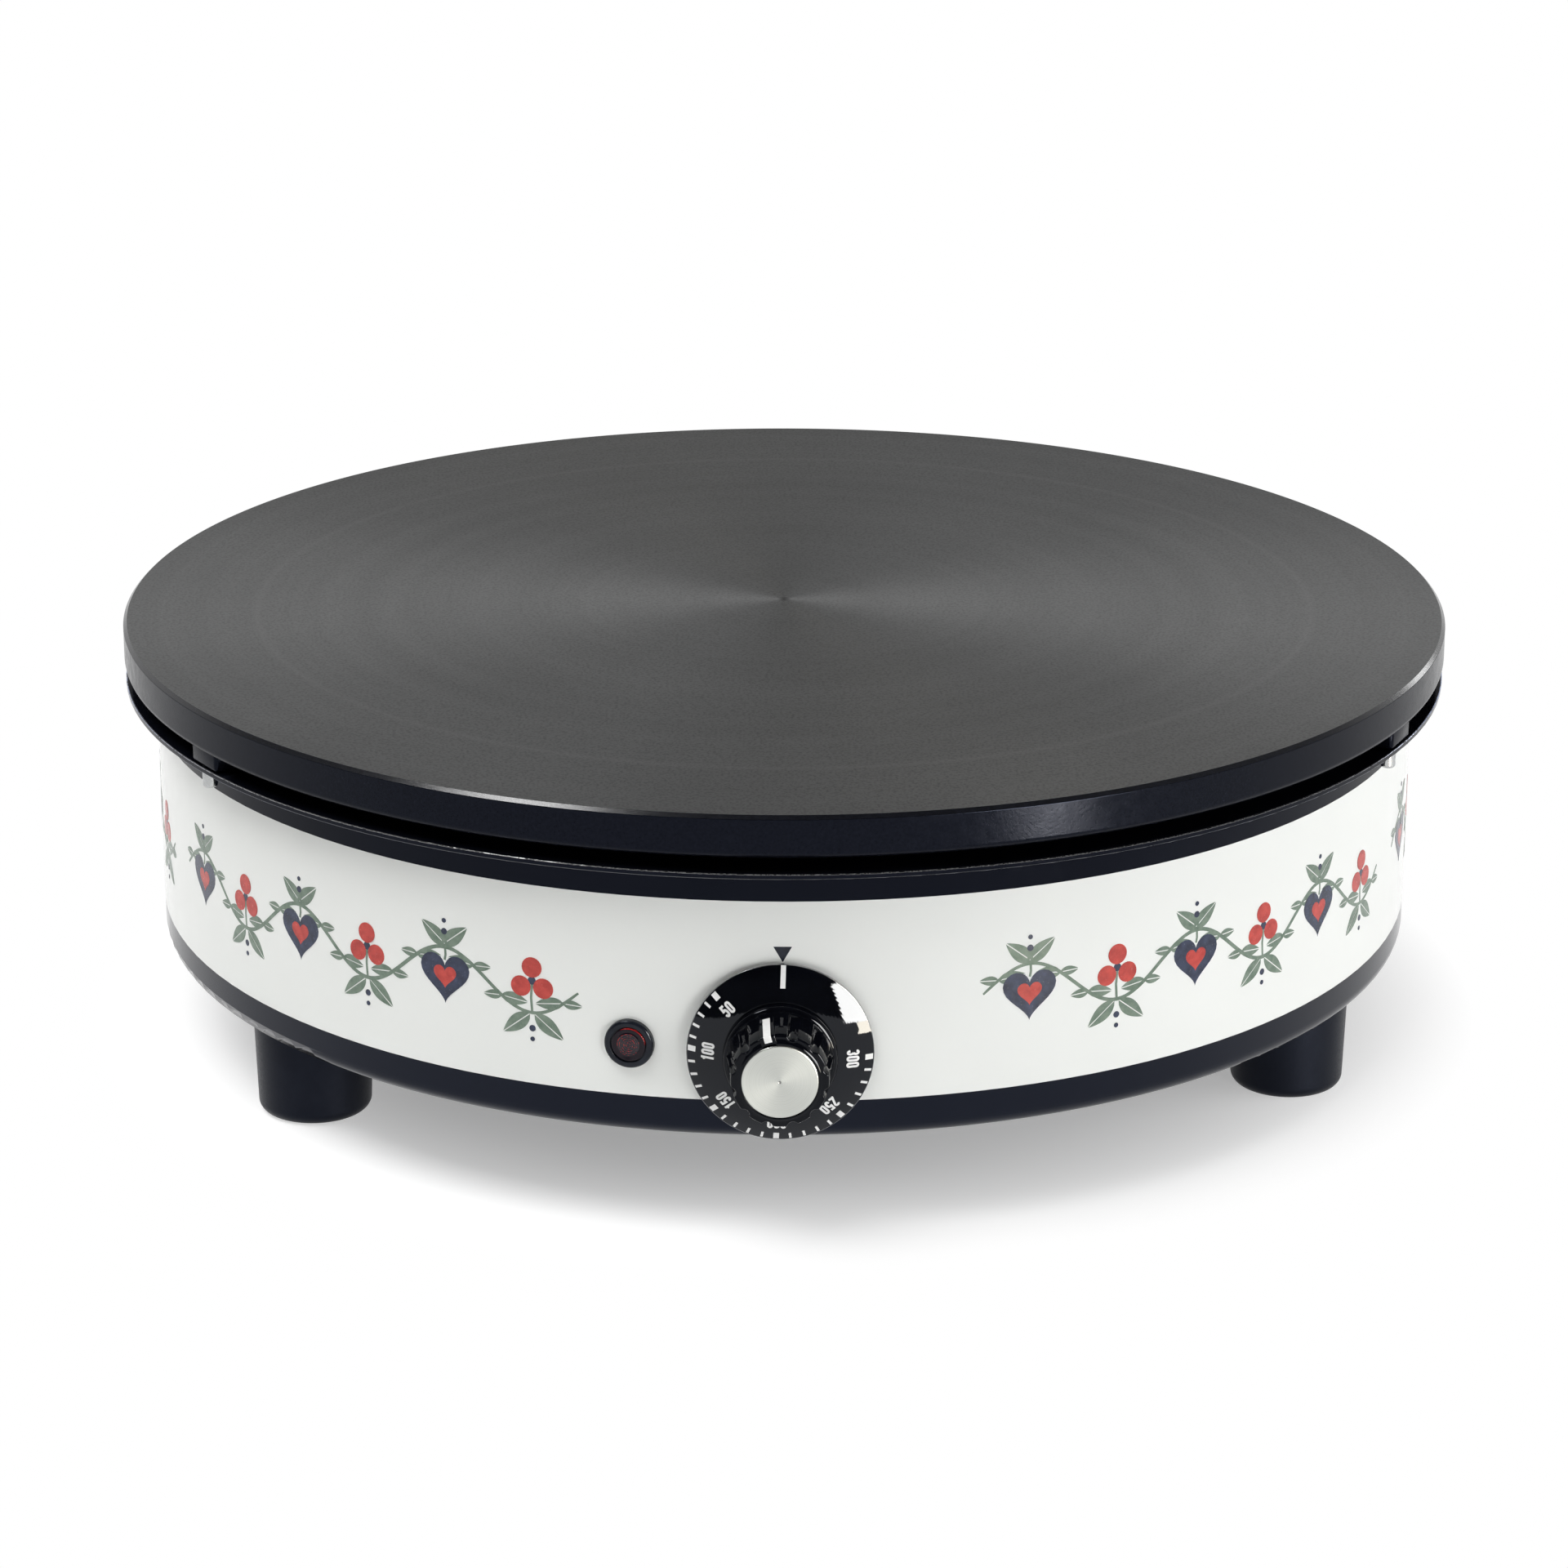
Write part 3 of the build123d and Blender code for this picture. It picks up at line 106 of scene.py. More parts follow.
LAMP_AZIMUTH = -12.55
LAMP_HEIGHT = 57.1
LAMP_RADIUS = DRUM_RADIUS + 0.15
BEZEL_RADIUS = 7.0
BEZEL_HEIGHT = 2.0
BEZEL_BORE = 4.0
BARREL_RADIUS = 4.9
BARREL_BACK = -17.0
LENS_RADIUS = 4.85
LENS_FRONT = 2.0
LENS_SEAT = 1.32
LENS_STEM = 3.9
LENS_BACK = -2.6
RIDGE_PITCH = 0.62
RIDGE_DEPTH = 0.14
RIDGED_RADIUS = 3.2


# ---------------- places and meshes
def stand(azimuth, radius, height):
    """Frame on the drum, in millimetres: x right, y up, z outwards. Azimuth 0 is the front."""
    turn = math.radians(azimuth)
    out = Vector((math.sin(turn), -math.cos(turn), 0))
    up = Vector((0, 0, 1))
    placed = Matrix((up.cross(out), up, out)).transposed().to_4x4()
    placed.translation = out * radius + up * height
    return placed


def add_object(name, data):
    made = bpy.data.objects.new(name, data)
    bpy.context.scene.collection.objects.link(made)
    return made


def add_piece(name, meshes, finishes, body, replaced=()):
    """Meshes whose points are in millimetres become one piece that rides on a body."""
    parts = [add_object(name, mesh) for mesh in meshes]
    for mesh in meshes:
        for finish in finishes:
            mesh.materials.append(FINISHES[finish])
    piece = parts[0]
    if len(parts) > 1:
        with bpy.context.temp_override(active_object=piece, object=piece, selected_editable_objects=parts):
            bpy.ops.object.join()
    piece.data.transform(Matrix.Scale(MM, 4))
    if replaced:
        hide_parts(*replaced)
    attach(piece, body)


def round_corners(corners, closed=False, steps=6):
    """Spans (start, end, start normal, end normal, zone) of an outline with its outside on the left.

    A corner is (r, z, round radius, zone); the zone holds for its round and the run after it."""
    count = len(corners)
    points = [Vector(corner[:2]) for corner in corners]
    spans = []

    def run(index):
        return (points[(index + 1) % count] - points[index % count]).normalized()

    def join(start, end, first, last, zone):
        if (end - start).length > 1e-6:
            spans.append((start, end, first, last, zone))

    def left(direction):
        return Vector((-direction.y, direction.x))

    here = points[0]
    zone = corners[0][3]
    if closed and corners[0][2]:
        before, after = run(-1), run(0)
        here = points[0] + after * corners[0][2] * math.tan(abs(before.angle_signed(after)) / 2)
    first_point = here
    for index in ([*range(1, count), 0] if closed else range(1, count - 1)):
        before, after = run(index - 1), run(index)
        radius = corners[index][2]
        turn = -before.angle_signed(after)
        if radius and abs(turn) > 1e-4:
            reach = radius * math.tan(abs(turn) / 2)
            start = points[index] - before * reach
            join(here, start, left(before), left(before), zone)
            side = -1 if turn > 0 else 1
            centre = start - left(before) * radius * side
            zone = corners[index][3]
            last, last_normal = start, left(before)
            for step in range(1, steps + 1):
                angle = turn * step / steps
                normal = Matrix.Rotation(angle, 2) @ left(before)
                point = centre + normal * radius * side
                join(last, point, last_normal, normal, zone)
                last, last_normal = point, normal
            here = last
        else:
            join(here, points[index], left(before), left(before), zone)
            here = points[index]
            zone = corners[index][3]
    if not closed:
        final = run(count - 2)
        join(here, points[-1], left(final), left(final), zone)
    else:
        spans[-1] = (spans[-1][0], first_point, *spans[-1][2:])
    return spans


def turned(point, angle):
    """A point of an outline, turned about z."""
    return Vector((point.x * math.cos(angle), point.x * math.sin(angle), point.y))


def turn_spans(spans, placed, segments, closed=False):
    """Mesh of an outline turned about z, with exact normals; a span's zone is its material's index."""
    points = [span[0] for span in spans]
    if not closed:
        points.append(spans[-1][1])
    vertices = []
    rings = []
    angles = [TAU * step / segments for step in range(segments)]
    for point in points:
        if point.x < 1e-6:
            rings.append([len(vertices)] * segments)
            vertices.append(placed @ Vector((0, 0, point.y)))
            continue
        rings.append([len(vertices) + step for step in range(segments)])
        vertices += [placed @ turned(point, a) for a in angles]
    spin = placed.to_3x3()
    faces, zones, normals = [], [], []
    for index, (start, end, first, last, zone) in enumerate(spans):
        low = rings[index]
        high = rings[(index + 1) % len(rings)]
        start_normals = [spin @ turned(first, a) for a in angles]
        end_normals = [spin @ turned(last, a) for a in angles]
        for step in range(segments):
            after = (step + 1) % segments
            corners = [
                (low[step], start_normals[step]),
                (high[step], end_normals[step]),
                (high[after], end_normals[after]),
                (low[after], start_normals[after]),
            ]
            if start.x < 1e-6:
                corners.pop(3)
            elif end.x < 1e-6:
                corners.pop(2)
            faces.append([vertex for vertex, _ in corners])
            normals += [normal for _, normal in corners]
            zones.append(zone)
    mesh = bpy.data.meshes.new("turned")
    mesh.from_pydata(vertices, [], faces)
    mesh.shade_smooth()
    mesh.polygons.foreach_set("material_index", zones)
    mesh.normals_split_custom_set(normals)
    return mesh


def lathe(corners, placed, segments=192, closed=False, steps=6):
    return turn_spans(round_corners(corners, closed, steps), placed, segments, closed)


def skin(rings, placed, sharp):
    """Mesh through rings of points, joined round, with its edges kept above an angle in degrees."""
    size = len(rings[0])
    vertices = [placed @ Vector(point) for ring in rings for point in ring]
    faces = []
    for row in range(len(rings) - 1):
        low, high = row * size, (row + 1) * size
        for step in range(size):
            after = (step + 1) % size
            faces.append([low + step, low + after, high + after, high + step])
    mesh = bpy.data.meshes.new("skin")
    mesh.from_pydata(vertices, [], faces)
    mesh.shade_smooth()
    mesh.set_sharp_from_angle(angle=math.radians(sharp))
    return mesh


def rounded_block(outline, low, high, placed, radius, steps=3):
    """Prism of a flat outline (x, y) between two heights, with all its edges rounded."""
    work = bmesh.new()
    bottom = [work.verts.new((x, y, low)) for x, y in outline]
    top = [work.verts.new((x, y, high)) for x, y in outline]
    count = len(outline)
    work.faces.new(list(reversed(bottom)))
    work.faces.new(top)
    for index in range(count):
        after = (index + 1) % count
        work.faces.new([bottom[index], bottom[after], top[after], top[index]])
    bmesh.ops.bevel(work, geom=work.edges[:], offset=radius, segments=steps, profile=0.5, affect="EDGES")
    bmesh.ops.recalc_face_normals(work, faces=work.faces[:])
    mesh = bpy.data.meshes.new("block")
    work.to_mesh(mesh)
    work.free()
    mesh.transform(placed)
    mesh.shade_smooth()
    mesh.set_sharp_from_angle(angle=math.radians(40))
    return mesh


# ---------------- materials
class Tree:
    """The nodes of a material or of the world."""

    def __init__(self, owner):
        owner.use_nodes = True
        self.nodes = owner.node_tree.nodes
        self.links = owner.node_tree.links

    def feed(self, socket, value):
        if isinstance(value, bpy.types.NodeSocket):
            self.links.new(value, socket)
        else:
            socket.default_value = value

    def node(self, kind, inputs=None, **settings):
        made = self.nodes.new(kind)
        for key, value in settings.items():
            setattr(made, key, value)
        for key, value in (inputs or {}).items():
            self.feed(made.inputs[key], value)
        return made

    def vector(self, operation, *values):
        return self.node("ShaderNodeVectorMath", dict(enumerate(values)), operation=operation).outputs

    def math(self, operation, first, second=0.0):
        return self.node("ShaderNodeMath", {0: first, 1: second}, operation=operation).outputs[0]

    def remap(self, value, low, high, to_low, to_high, curve="LINEAR"):
        inputs = {"Value": value, "From Min": low, "From Max": high, "To Min": to_low, "To Max": to_high}
        return self.node("ShaderNodeMapRange", inputs, interpolation_type=curve).outputs["Result"]


class Finish(Tree):
    """A procedural material, built round its own Principled shader."""

    def __init__(self, name, **sockets):
        self.material = bpy.data.materials.new(name)
        super().__init__(self.material)
        self.shader = self.nodes["Principled BSDF"]
        for key, value in sockets.items():
            self.shader.inputs[key.replace("_", " ")].default_value = value
        self.place = self.nodes.new("ShaderNodeTexCoord").outputs["Object"]

    def noise(self, scale, detail=3.0, roughness=0.55):
        """Noise; the scale is in bumps per metre."""
        inputs = {"Vector": self.place, "Scale": scale, "Detail": detail, "Roughness": roughness}
        return self.node("ShaderNodeTexNoise", inputs).outputs["Fac"]

    def line_noise(self, value, scale, detail=4.0, roughness=0.6):
        """Noise along one value only, as turning or polishing marks have."""
        inputs = {"W": value, "Scale": scale, "Detail": detail, "Roughness": roughness}
        return self.node("ShaderNodeTexNoise", inputs, noise_dimensions="1D").outputs["Fac"]

    def ramp(self, value, stops):
        """Colour along a value: stops are (place, (r, g, b))."""
        made = self.node("ShaderNodeValToRGB", {"Fac": value})
        band = made.color_ramp
        while len(band.elements) < len(stops):
            band.elements.new(0.5)
        for element, (where, colour) in zip(band.elements, stops):
            element.position = where
            element.color = (*colour, 1.0)
        return made.outputs["Color"]

    def blend(self, amount, first, second):
        inputs = {"Factor": amount, "A": first, "B": second}
        return self.node("ShaderNodeMix", inputs, data_type="RGBA").outputs["Result"]

    def bump(self, height, distance, strength, normal=None):
        inputs = {"Height": height, "Distance": distance, "Strength": strength}
        made = self.node("ShaderNodeBump", inputs)
        if normal:
            self.links.new(normal, made.inputs["Normal"])
        return made.outputs["Normal"]

    def spread(self, axis="Z"):
        """Distance from the object's z axis, or from the dial's axis for Y."""
        place = self.node("ShaderNodeSeparateXYZ", {"Vector": self.place}).outputs
        other = self.math("SUBTRACT", place["Z"], CONTROL_HEIGHT * MM) if axis == "Y" else place["Y"]
        squares = [self.math("MULTIPLY", value, value) for value in (place["X"], other)]
        return self.math("SQRT", self.math("ADD", *squares))

    def set(self, key, value):
        self.feed(self.shader.inputs[key], value)


def plain_finish(name, dark, light, rough, mottle=60.0, grain=1500.0, depth=0.00002, bump=0.25, **sockets):
    """A surface whose colour drifts between two tones, with a fine grain in its gloss and relief."""
    made = Finish(name, **sockets)
    drift = made.noise(mottle, detail=4.0)
    made.set("Base Color", made.ramp(drift, [(0.3, dark), (0.7, light)]))
    fine = made.noise(grain, detail=2.0)
    made.set("Roughness", made.remap(fine, 0.3, 0.7, rough[0], rough[1]))
    made.set("Normal", made.bump(fine, depth, bump))
    return made.material


def turned_iron():
    """The machined cooking face: turning marks round the centre, pores, a dark centre mark."""
    made = Finish("turned_iron", Metallic=1.0, Anisotropic=0.6, Anisotropic_Rotation=0.25)
    radius = made.spread()
    marks = made.line_noise(radius, 900.0, detail=6.0)
    bands = made.line_noise(radius, 60.0, detail=3.0)
    pores = made.noise(1150.0, detail=3.0)
    drift = made.noise(14.0, detail=4.0)
    tone = made.ramp(drift, [(0.25, (0.117, 0.120, 0.120)), (0.75, (0.151, 0.154, 0.153))])
    tone = made.blend(made.remap(marks, 0.35, 0.65, 0.0, 0.25), tone, (0.10, 0.102, 0.102, 1))
    tone = made.blend(made.remap(pores, 0.46, 0.64, 0.0, 0.62), tone, (0.05, 0.05, 0.05, 1))
    ring = made.math("ABSOLUTE", made.math("SUBTRACT", radius, 0.160))
    tone = made.blend(made.remap(ring, 0.0003, 0.0024, 0.22, 0.0), tone, (0.22, 0.22, 0.22, 1))
    tone = made.blend(made.remap(radius, 0.0010, 0.0022, 0.85, 0.0), tone, (0.01, 0.01, 0.01, 1))
    made.set("Base Color", tone)
    made.set("Roughness", made.remap(bands, 0.3, 0.7, 0.42, 0.45))
    made.set("Tangent", made.node("ShaderNodeTangent", direction_type="RADIAL", axis="Z").outputs[0])
    relief = made.bump(marks, 0.000008, 0.5)
    made.set("Normal", made.bump(pores, 0.00002, 0.25, relief))
    return made.material


def cast_side():
    """Cast and blacked iron: fine sand grain and a satin sheen."""
    made = Finish("cast_side", Specular_IOR_Level=0.12, Specular_Tint=BLUE_BLACK)
    grain = made.noise(1100.0, detail=4.0, roughness=0.6)
    coarse = made.noise(300.0, detail=3.0)
    tone = made.ramp(grain, [(0.3, (0.0015, 0.0018, 0.0032)), (0.72, (0.0045, 0.0052, 0.0085))])
    made.set("Base Color", tone)
    made.set("Roughness", made.remap(coarse, 0.3, 0.7, 0.17, 0.26))
    relief = made.bump(grain, 0.00006, 0.6)
    made.set("Normal", made.bump(coarse, 0.0001, 0.12, relief))
    return made.material


def spun_aluminium():
    made = Finish("spun_aluminium", Metallic=1.0, Anisotropic=0.38, Anisotropic_Rotation=0.25)
    radius = made.spread("Y")
    marks = made.line_noise(radius, 4000.0, detail=4.0)
    tone = made.ramp(marks, [(0.3, (0.53, 0.545, 0.515)), (0.7, (0.60, 0.615, 0.585))])
    centre = made.remap(radius, 0.0003, 0.0005, 0.75, 0.0)
    made.set("Base Color", made.blend(centre, tone, (0.10, 0.10, 0.10, 1)))
    made.set("Roughness", made.remap(marks, 0.3, 0.7, 0.31, 0.39))
    made.set("Tangent", made.node("ShaderNodeTangent", direction_type="RADIAL", axis="Y").outputs[0])
    made.set("Normal", made.bump(marks, 0.000004, 0.4))
    return made.material


def red_lens():
    """Deep red moulded lens: nearly black, with painted red highlights on the crests of its rings and a
    painted arc of red light along its edge on the side towards the lamps.
    """
    made = Finish("red_lens", IOR=1.52, Transmission_Weight=0.1, Specular_IOR_Level=0.18)
    lamp = stand(LAMP_AZIMUTH, LAMP_RADIUS * MM, LAMP_HEIGHT * MM)
    offset = made.vector("SUBTRACT", made.place, lamp.translation)[0]
    radius = made.vector("LENGTH", made.vector("CROSS_PRODUCT", offset, lamp.col[2].xyz)[0])["Value"]
    # painted highlights: red glints on the ring crests, and a red arc of light along the edge that faces the
    # lamps
    wave = made.math("PINGPONG", made.math("DIVIDE", radius, RIDGE_PITCH * MM), 0.5)
    crest = made.remap(wave, 0.05, 0.15, 1.0, 0.0)
    inside = made.remap(radius, (RIDGED_RADIUS - 0.1) * MM, RIDGED_RADIUS * MM, 1.0, 0.0)
    broken = made.remap(made.noise(2200.0, detail=1.0), 0.52, 0.60, 0.0, 1.0)
    painted_red_glints = made.math("MULTIPLY", made.math("MULTIPLY", crest, inside), broken)
    to_light = (lamp.col[0].xyz + 1.8 * lamp.col[1].xyz).normalized()
    side = made.vector("DOT_PRODUCT", offset, to_light)["Value"]
    lit_side = made.remap(side, 0.50 * LENS_RADIUS * MM, 0.74 * LENS_RADIUS * MM, 0.0, 0.7)
    outer = made.remap(radius, (LENS_RADIUS - 0.26) * MM, (LENS_RADIUS - 0.20) * MM, 0.0, 1.0)
    painted_red_glints = made.math("MAXIMUM", painted_red_glints, made.math("MULTIPLY", outer, lit_side))
    drift = made.noise(900.0, detail=2.0)
    dark = made.ramp(drift, [(0.3, (0.006, 0.003, 0.007)), (0.7, (0.011, 0.005, 0.011))])
    field = made.blend(made.math("MULTIPLY", inside, 0.4), dark, (0.070, 0.066, 0.075, 1))
    made.set("Base Color", made.blend(painted_red_glints, field, (0.55, 0.028, 0.026, 1)))
    made.set("Roughness", made.remap(drift, 0.3, 0.7, 0.06, 0.14))
    made.set("Normal", made.bump(drift, 0.00001, 0.2))
    return made.material


def white_enamel():
    """Fused enamel: a deep gloss with the faint waviness of orange peel."""
    made = Finish("white_enamel", Specular_IOR_Level=0.5)
    drift = made.noise(9.0, detail=3.0)
    peel = made.noise(220.0, detail=2.0)
    made.set("Base Color", made.ramp(drift, [(0.3, (0.785, 0.800, 0.775)), (0.7, (0.815, 0.828, 0.803))]))
    made.set("Roughness", made.remap(peel, 0.3, 0.7, 0.07, 0.12))
    made.set("Normal", made.bump(peel, 0.00003, 0.12))
    return made.material


def rim_wear(made):
    """Share of bare metal that also stands in for painted highlights: a broken bright line along the upper
    edge of the tray's rim, painted in place of the highlight on its rounded edge, and a faint one below,
    painted in place of the floor's reflection there.
    """
    height = made.node("ShaderNodeSeparateXYZ", {"Vector": made.place}).outputs["Z"]
    outer = made.remap(made.spread(), (RIM_RADIUS - 0.40) * MM, (RIM_RADIUS - 0.25) * MM, 0.0, 1.0)
    upper = made.remap(height, (RIM_TOP - 0.30) * MM, (RIM_TOP - 0.15) * MM, 0.0, 1.0)
    lower = made.remap(height, (RIM_BOTTOM + 0.12) * MM, (RIM_BOTTOM + 0.28) * MM, 0.30, 0.0)
    broken = made.remap(made.noise(800.0, detail=2.0), 0.40, 0.52, 0.15, 1.0)
    return made.math("MULTIPLY", outer, made.math("MAXIMUM", made.math("MULTIPLY", upper, broken), lower))


def black_enamel(name, gloss, smooth=0.09, rough=0.16, peel_scale=260.0, peel_depth=0.00003, worn_glint_rim=False):
    made = Finish(name, Specular_IOR_Level=gloss, Specular_Tint=BLUE_BLACK)
    drift = made.noise(25.0, detail=3.0)
    tone = made.ramp(drift, [(0.3, (0.0015, 0.0018, 0.0035)), (0.7, (0.0030, 0.0036, 0.0060))])
    # the worn rim is partly a painted glint: bare metal lines that stand in for the highlights along the
    # rim's edges
    if worn_glint_rim:
        worn_and_glint = rim_wear(made)
        tone = made.blend(worn_and_glint, tone, (0.42, 0.42, 0.42, 1))
        made.set("Metallic", worn_and_glint)
    made.set("Base Color", tone)
    peel = made.noise(peel_scale, detail=2.0)
    made.set("Roughness", made.remap(peel, 0.3, 0.7, smooth, rough))
    made.set("Normal", made.bump(peel, peel_depth, 0.15))
    return made.material


FINISHES = {
    "turned_iron": turned_iron(),
    "cast_iron": cast_side(),
    "spun_aluminium": spun_aluminium(),
    "red_lens": red_lens(),
    "white_enamel": white_enamel(),
    "black_enamel": black_enamel("black_enamel", 0.15),
    "band_enamel": black_enamel("band_enamel", 0.13, 0.05, 0.09),
    "pan_enamel": black_enamel("pan_enamel", 0.25),
    # the tray's rim gets bare metal lines painted in place of its edge highlights
    "tray_enamel": black_enamel("tray_enamel", 0.14, 0.04, 0.08, 1300.0, 0.00008, worn_glint_rim=True),
}
for name, dark, light, rough, options in (
    ("bright_steel", (0.40, 0.41, 0.41), (0.56, 0.57, 0.57), (0.16, 0.30), dict(mottle=200.0, Metallic=1.0)),
    ("element_sheath", (0.10, 0.085, 0.07), (0.19, 0.16, 0.13), (0.35, 0.6),
     dict(mottle=90.0, bump=0.5, Metallic=0.8)),
    ("steatite", (0.70, 0.67, 0.60), (0.80, 0.78, 0.72), (0.5, 0.65), dict(mottle=400.0)),
    ("tinned_brass", (0.62, 0.58, 0.47), (0.74, 0.71, 0.62), (0.2, 0.35), dict(mottle=300.0, Metallic=1.0)),
    ("ceramic_fibre", (0.68, 0.66, 0.60), (0.86, 0.85, 0.81), (0.85, 0.95),
     dict(mottle=120.0, grain=700.0, depth=0.0004, bump=0.9)),
    ("foot_rubber", (0.0025, 0.003, 0.005), (0.005, 0.006, 0.009), (0.34, 0.46),
     dict(mottle=150.0, depth=0.00006, bump=0.3, Specular_IOR_Level=0.18, Specular_Tint=BLUE_BLACK)),
    ("black_plastic", (0.005, 0.006, 0.010), (0.010, 0.012, 0.018), (0.16, 0.26),
     dict(mottle=300.0, Specular_IOR_Level=0.26, Specular_Tint=COOL_GLOSS)),
    ("copper", (0.55, 0.24, 0.13), (0.72, 0.36, 0.22), (0.25, 0.4), dict(mottle=150.0, Metallic=1.0)),
    ("dial_black", (0.0010, 0.0012, 0.0022), (0.0020, 0.0024, 0.0040), (0.02, 0.05),
     dict(mottle=120.0, grain=800.0, Specular_IOR_Level=0.33, Specular_Tint=COOL_GLOSS)),
    ("knob_black", (0.0012, 0.0014, 0.0024), (0.0025, 0.0028, 0.0045), (0.03, 0.08),
     dict(mottle=160.0, depth=0.00001, bump=0.15, Specular_IOR_Level=0.17, Specular_Tint=COOL_GLOSS)),
    ("index_white", (0.78, 0.78, 0.76), (0.86, 0.86, 0.85), (0.35, 0.5), dict(mottle=500.0)),
    ("seal_rubber", (0.010, 0.010, 0.010), (0.020, 0.020, 0.020), (0.6, 0.75),
     dict(mottle=200.0, depth=0.00005, bump=0.4)),
    ("gland_black", (0.008, 0.008, 0.009), (0.016, 0.016, 0.017), (0.32, 0.45),
     dict(mottle=220.0, depth=0.00004, bump=0.35)),
    ("natural_nylon", (0.70, 0.68, 0.58), (0.80, 0.78, 0.70), (0.35, 0.5),
     dict(mottle=300.0, Subsurface_Weight=0.1)),
    ("brown_lead", (0.10, 0.045, 0.022), (0.15, 0.070, 0.036), (0.4, 0.55), dict(mottle=300.0)),
    ("blue_lead", (0.015, 0.07, 0.25), (0.025, 0.11, 0.36), (0.4, 0.55), dict(mottle=300.0)),
    ("green_lead", (0.05, 0.20, 0.03), (0.45, 0.42, 0.03), (0.4, 0.55), dict(mottle=110.0)),
    ("turned_edge", (0.0015, 0.0018, 0.0032), (0.0045, 0.0052, 0.0085), (0.14, 0.24),
     dict(mottle=900.0, grain=2600.0, depth=0.00003, bump=0.3, Specular_IOR_Level=0.55)),
    # lighter metal on the dial's rim edge, partly bare metal and partly a painted highlight: it stands in
    # for the bright line of light along the rim
    ("disc_edge", (0.26, 0.26, 0.27), (0.38, 0.38, 0.39), (0.10, 0.20),
     dict(mottle=300.0, Metallic=0.9, Specular_IOR_Level=0.5)),
    ("print_white", (0.74, 0.74, 0.73), (0.82, 0.82, 0.81), (0.35, 0.5), dict(mottle=900.0)),
    ("print_dark", (0.006, 0.008, 0.016), (0.012, 0.015, 0.028), (0.15, 0.25),
     dict(mottle=500.0, Specular_IOR_Level=0.3)),
    ("paint_green", (0.105, 0.160, 0.115), (0.190, 0.250, 0.195), (0.16, 0.28), dict(mottle=380.0)),
    ("paint_red", (0.36, 0.025, 0.020), (0.56, 0.055, 0.040), (0.16, 0.28), dict(mottle=380.0)),
    ("paint_navy", (0.008, 0.013, 0.036), (0.030, 0.042, 0.090), (0.16, 0.28), dict(mottle=380.0)),
):
    FINISHES[name] = plain_finish(name, dark, light, rough, **options)
SPECIAL_ENAMELS = {"upper_band": "band_enamel", "base_pan": "pan_enamel", "heat_tray": "tray_enamel"}

for subpart in record["subparts"]:
    node = frame["nodes"][subpart["node"]]
    node.data.materials.clear()
    node.data.materials.append(FINISHES[SPECIAL_ENAMELS.get(subpart["node"], subpart["material_slot"])])

# ---------------- griddle plate
upright = Matrix.Identity(4)
plate_outline = [
    (0, PLATE_TOP, 0, 0),
    (PLATE_RADIUS - PLATE_CHAMFER, PLATE_TOP, 0.12, 2),
    (PLATE_RADIUS, PLATE_TOP - PLATE_CHAMFER, 0.3, 1),
    (PLATE_RADIUS, PLATE_BOTTOM, PLATE_LOWER_ROUND, 1),
    (BOSS_RADIUS, PLATE_BOTTOM, 1.0, 1),
    (BOSS_RADIUS, BOSS_BOTTOM, 0.8, 1),
    (0, BOSS_BOTTOM, 0, 1),
]
leg_outline = [
    (-LEG_WIDTH / 2, LEG_BOTTOM),
    (LEG_WIDTH / 2, LEG_BOTTOM),
    (LEG_WIDTH / 2, LEG_TOP),
    (-LEG_WIDTH / 2, LEG_TOP),
]
plate_meshes = [lathe(plate_outline, upright, segments=360)]
for leg_azimuth in LEG_AZIMUTHS:
    leg = rounded_block(leg_outline, LEG_INNER, LEG_OUTER, stand(leg_azimuth, 0, 0), LEG_CORNER)
    leg.polygons.foreach_set("material_index", [1] * len(leg.polygons))
    plate_meshes.append(leg)
add_piece("griddle_plate_turned", plate_meshes, ["turned_iron", "cast_iron", "turned_edge"], "base",
          ["griddle_plate"])

# ---------------- dial disc
dial_place = stand(0, DISC_FACE, CONTROL_HEIGHT)
FLANK_STEPS = 16


def disc_depth(radius):
    """Height of the dial's face over its mounting plane at a distance from the axis."""
    along = (max(radius, DISC_FLAT) - DISC_FLAT) / (DISC_RADIUS - DISC_FLAT)
    return DISC_CROWN + (DISC_RIM - DISC_CROWN) * along + DISC_SWELL * 4 * along * (1 - along)


flank = [DISC_FLAT + (DISC_RADIUS - DISC_FLAT) * step / FLANK_STEPS for step in range(1, FLANK_STEPS)]
disc_outline = [
    (SPIGOT_RADIUS, DISC_CROWN, 0, 0),
    (DISC_FLAT, DISC_CROWN, 0.5, 0),
    *[(radius, disc_depth(radius), 0.25, 0) for radius in flank],
    (DISC_RADIUS, DISC_RIM, DISC_ROUND, 1),
    (DISC_RADIUS, DISC_RIM - DISC_SHEET, DISC_ROUND, 0),
    (DISC_FLAT, DISC_CROWN - DISC_SHEET, 0, 0),
    (SPIGOT_RADIUS, DISC_CROWN - DISC_SHEET, 0, 0),
]
# the rim's edge zone takes the lighter metal, partly a painted highlight line
add_piece("dial_disc_cone", [lathe(disc_outline, dial_place, segments=256, closed=True, steps=3)],
          ["dial_black", "disc_edge"], "dial", ["dial_disc"])

# ---------------- knob
KNOB_STEPS = FLUTES * 40


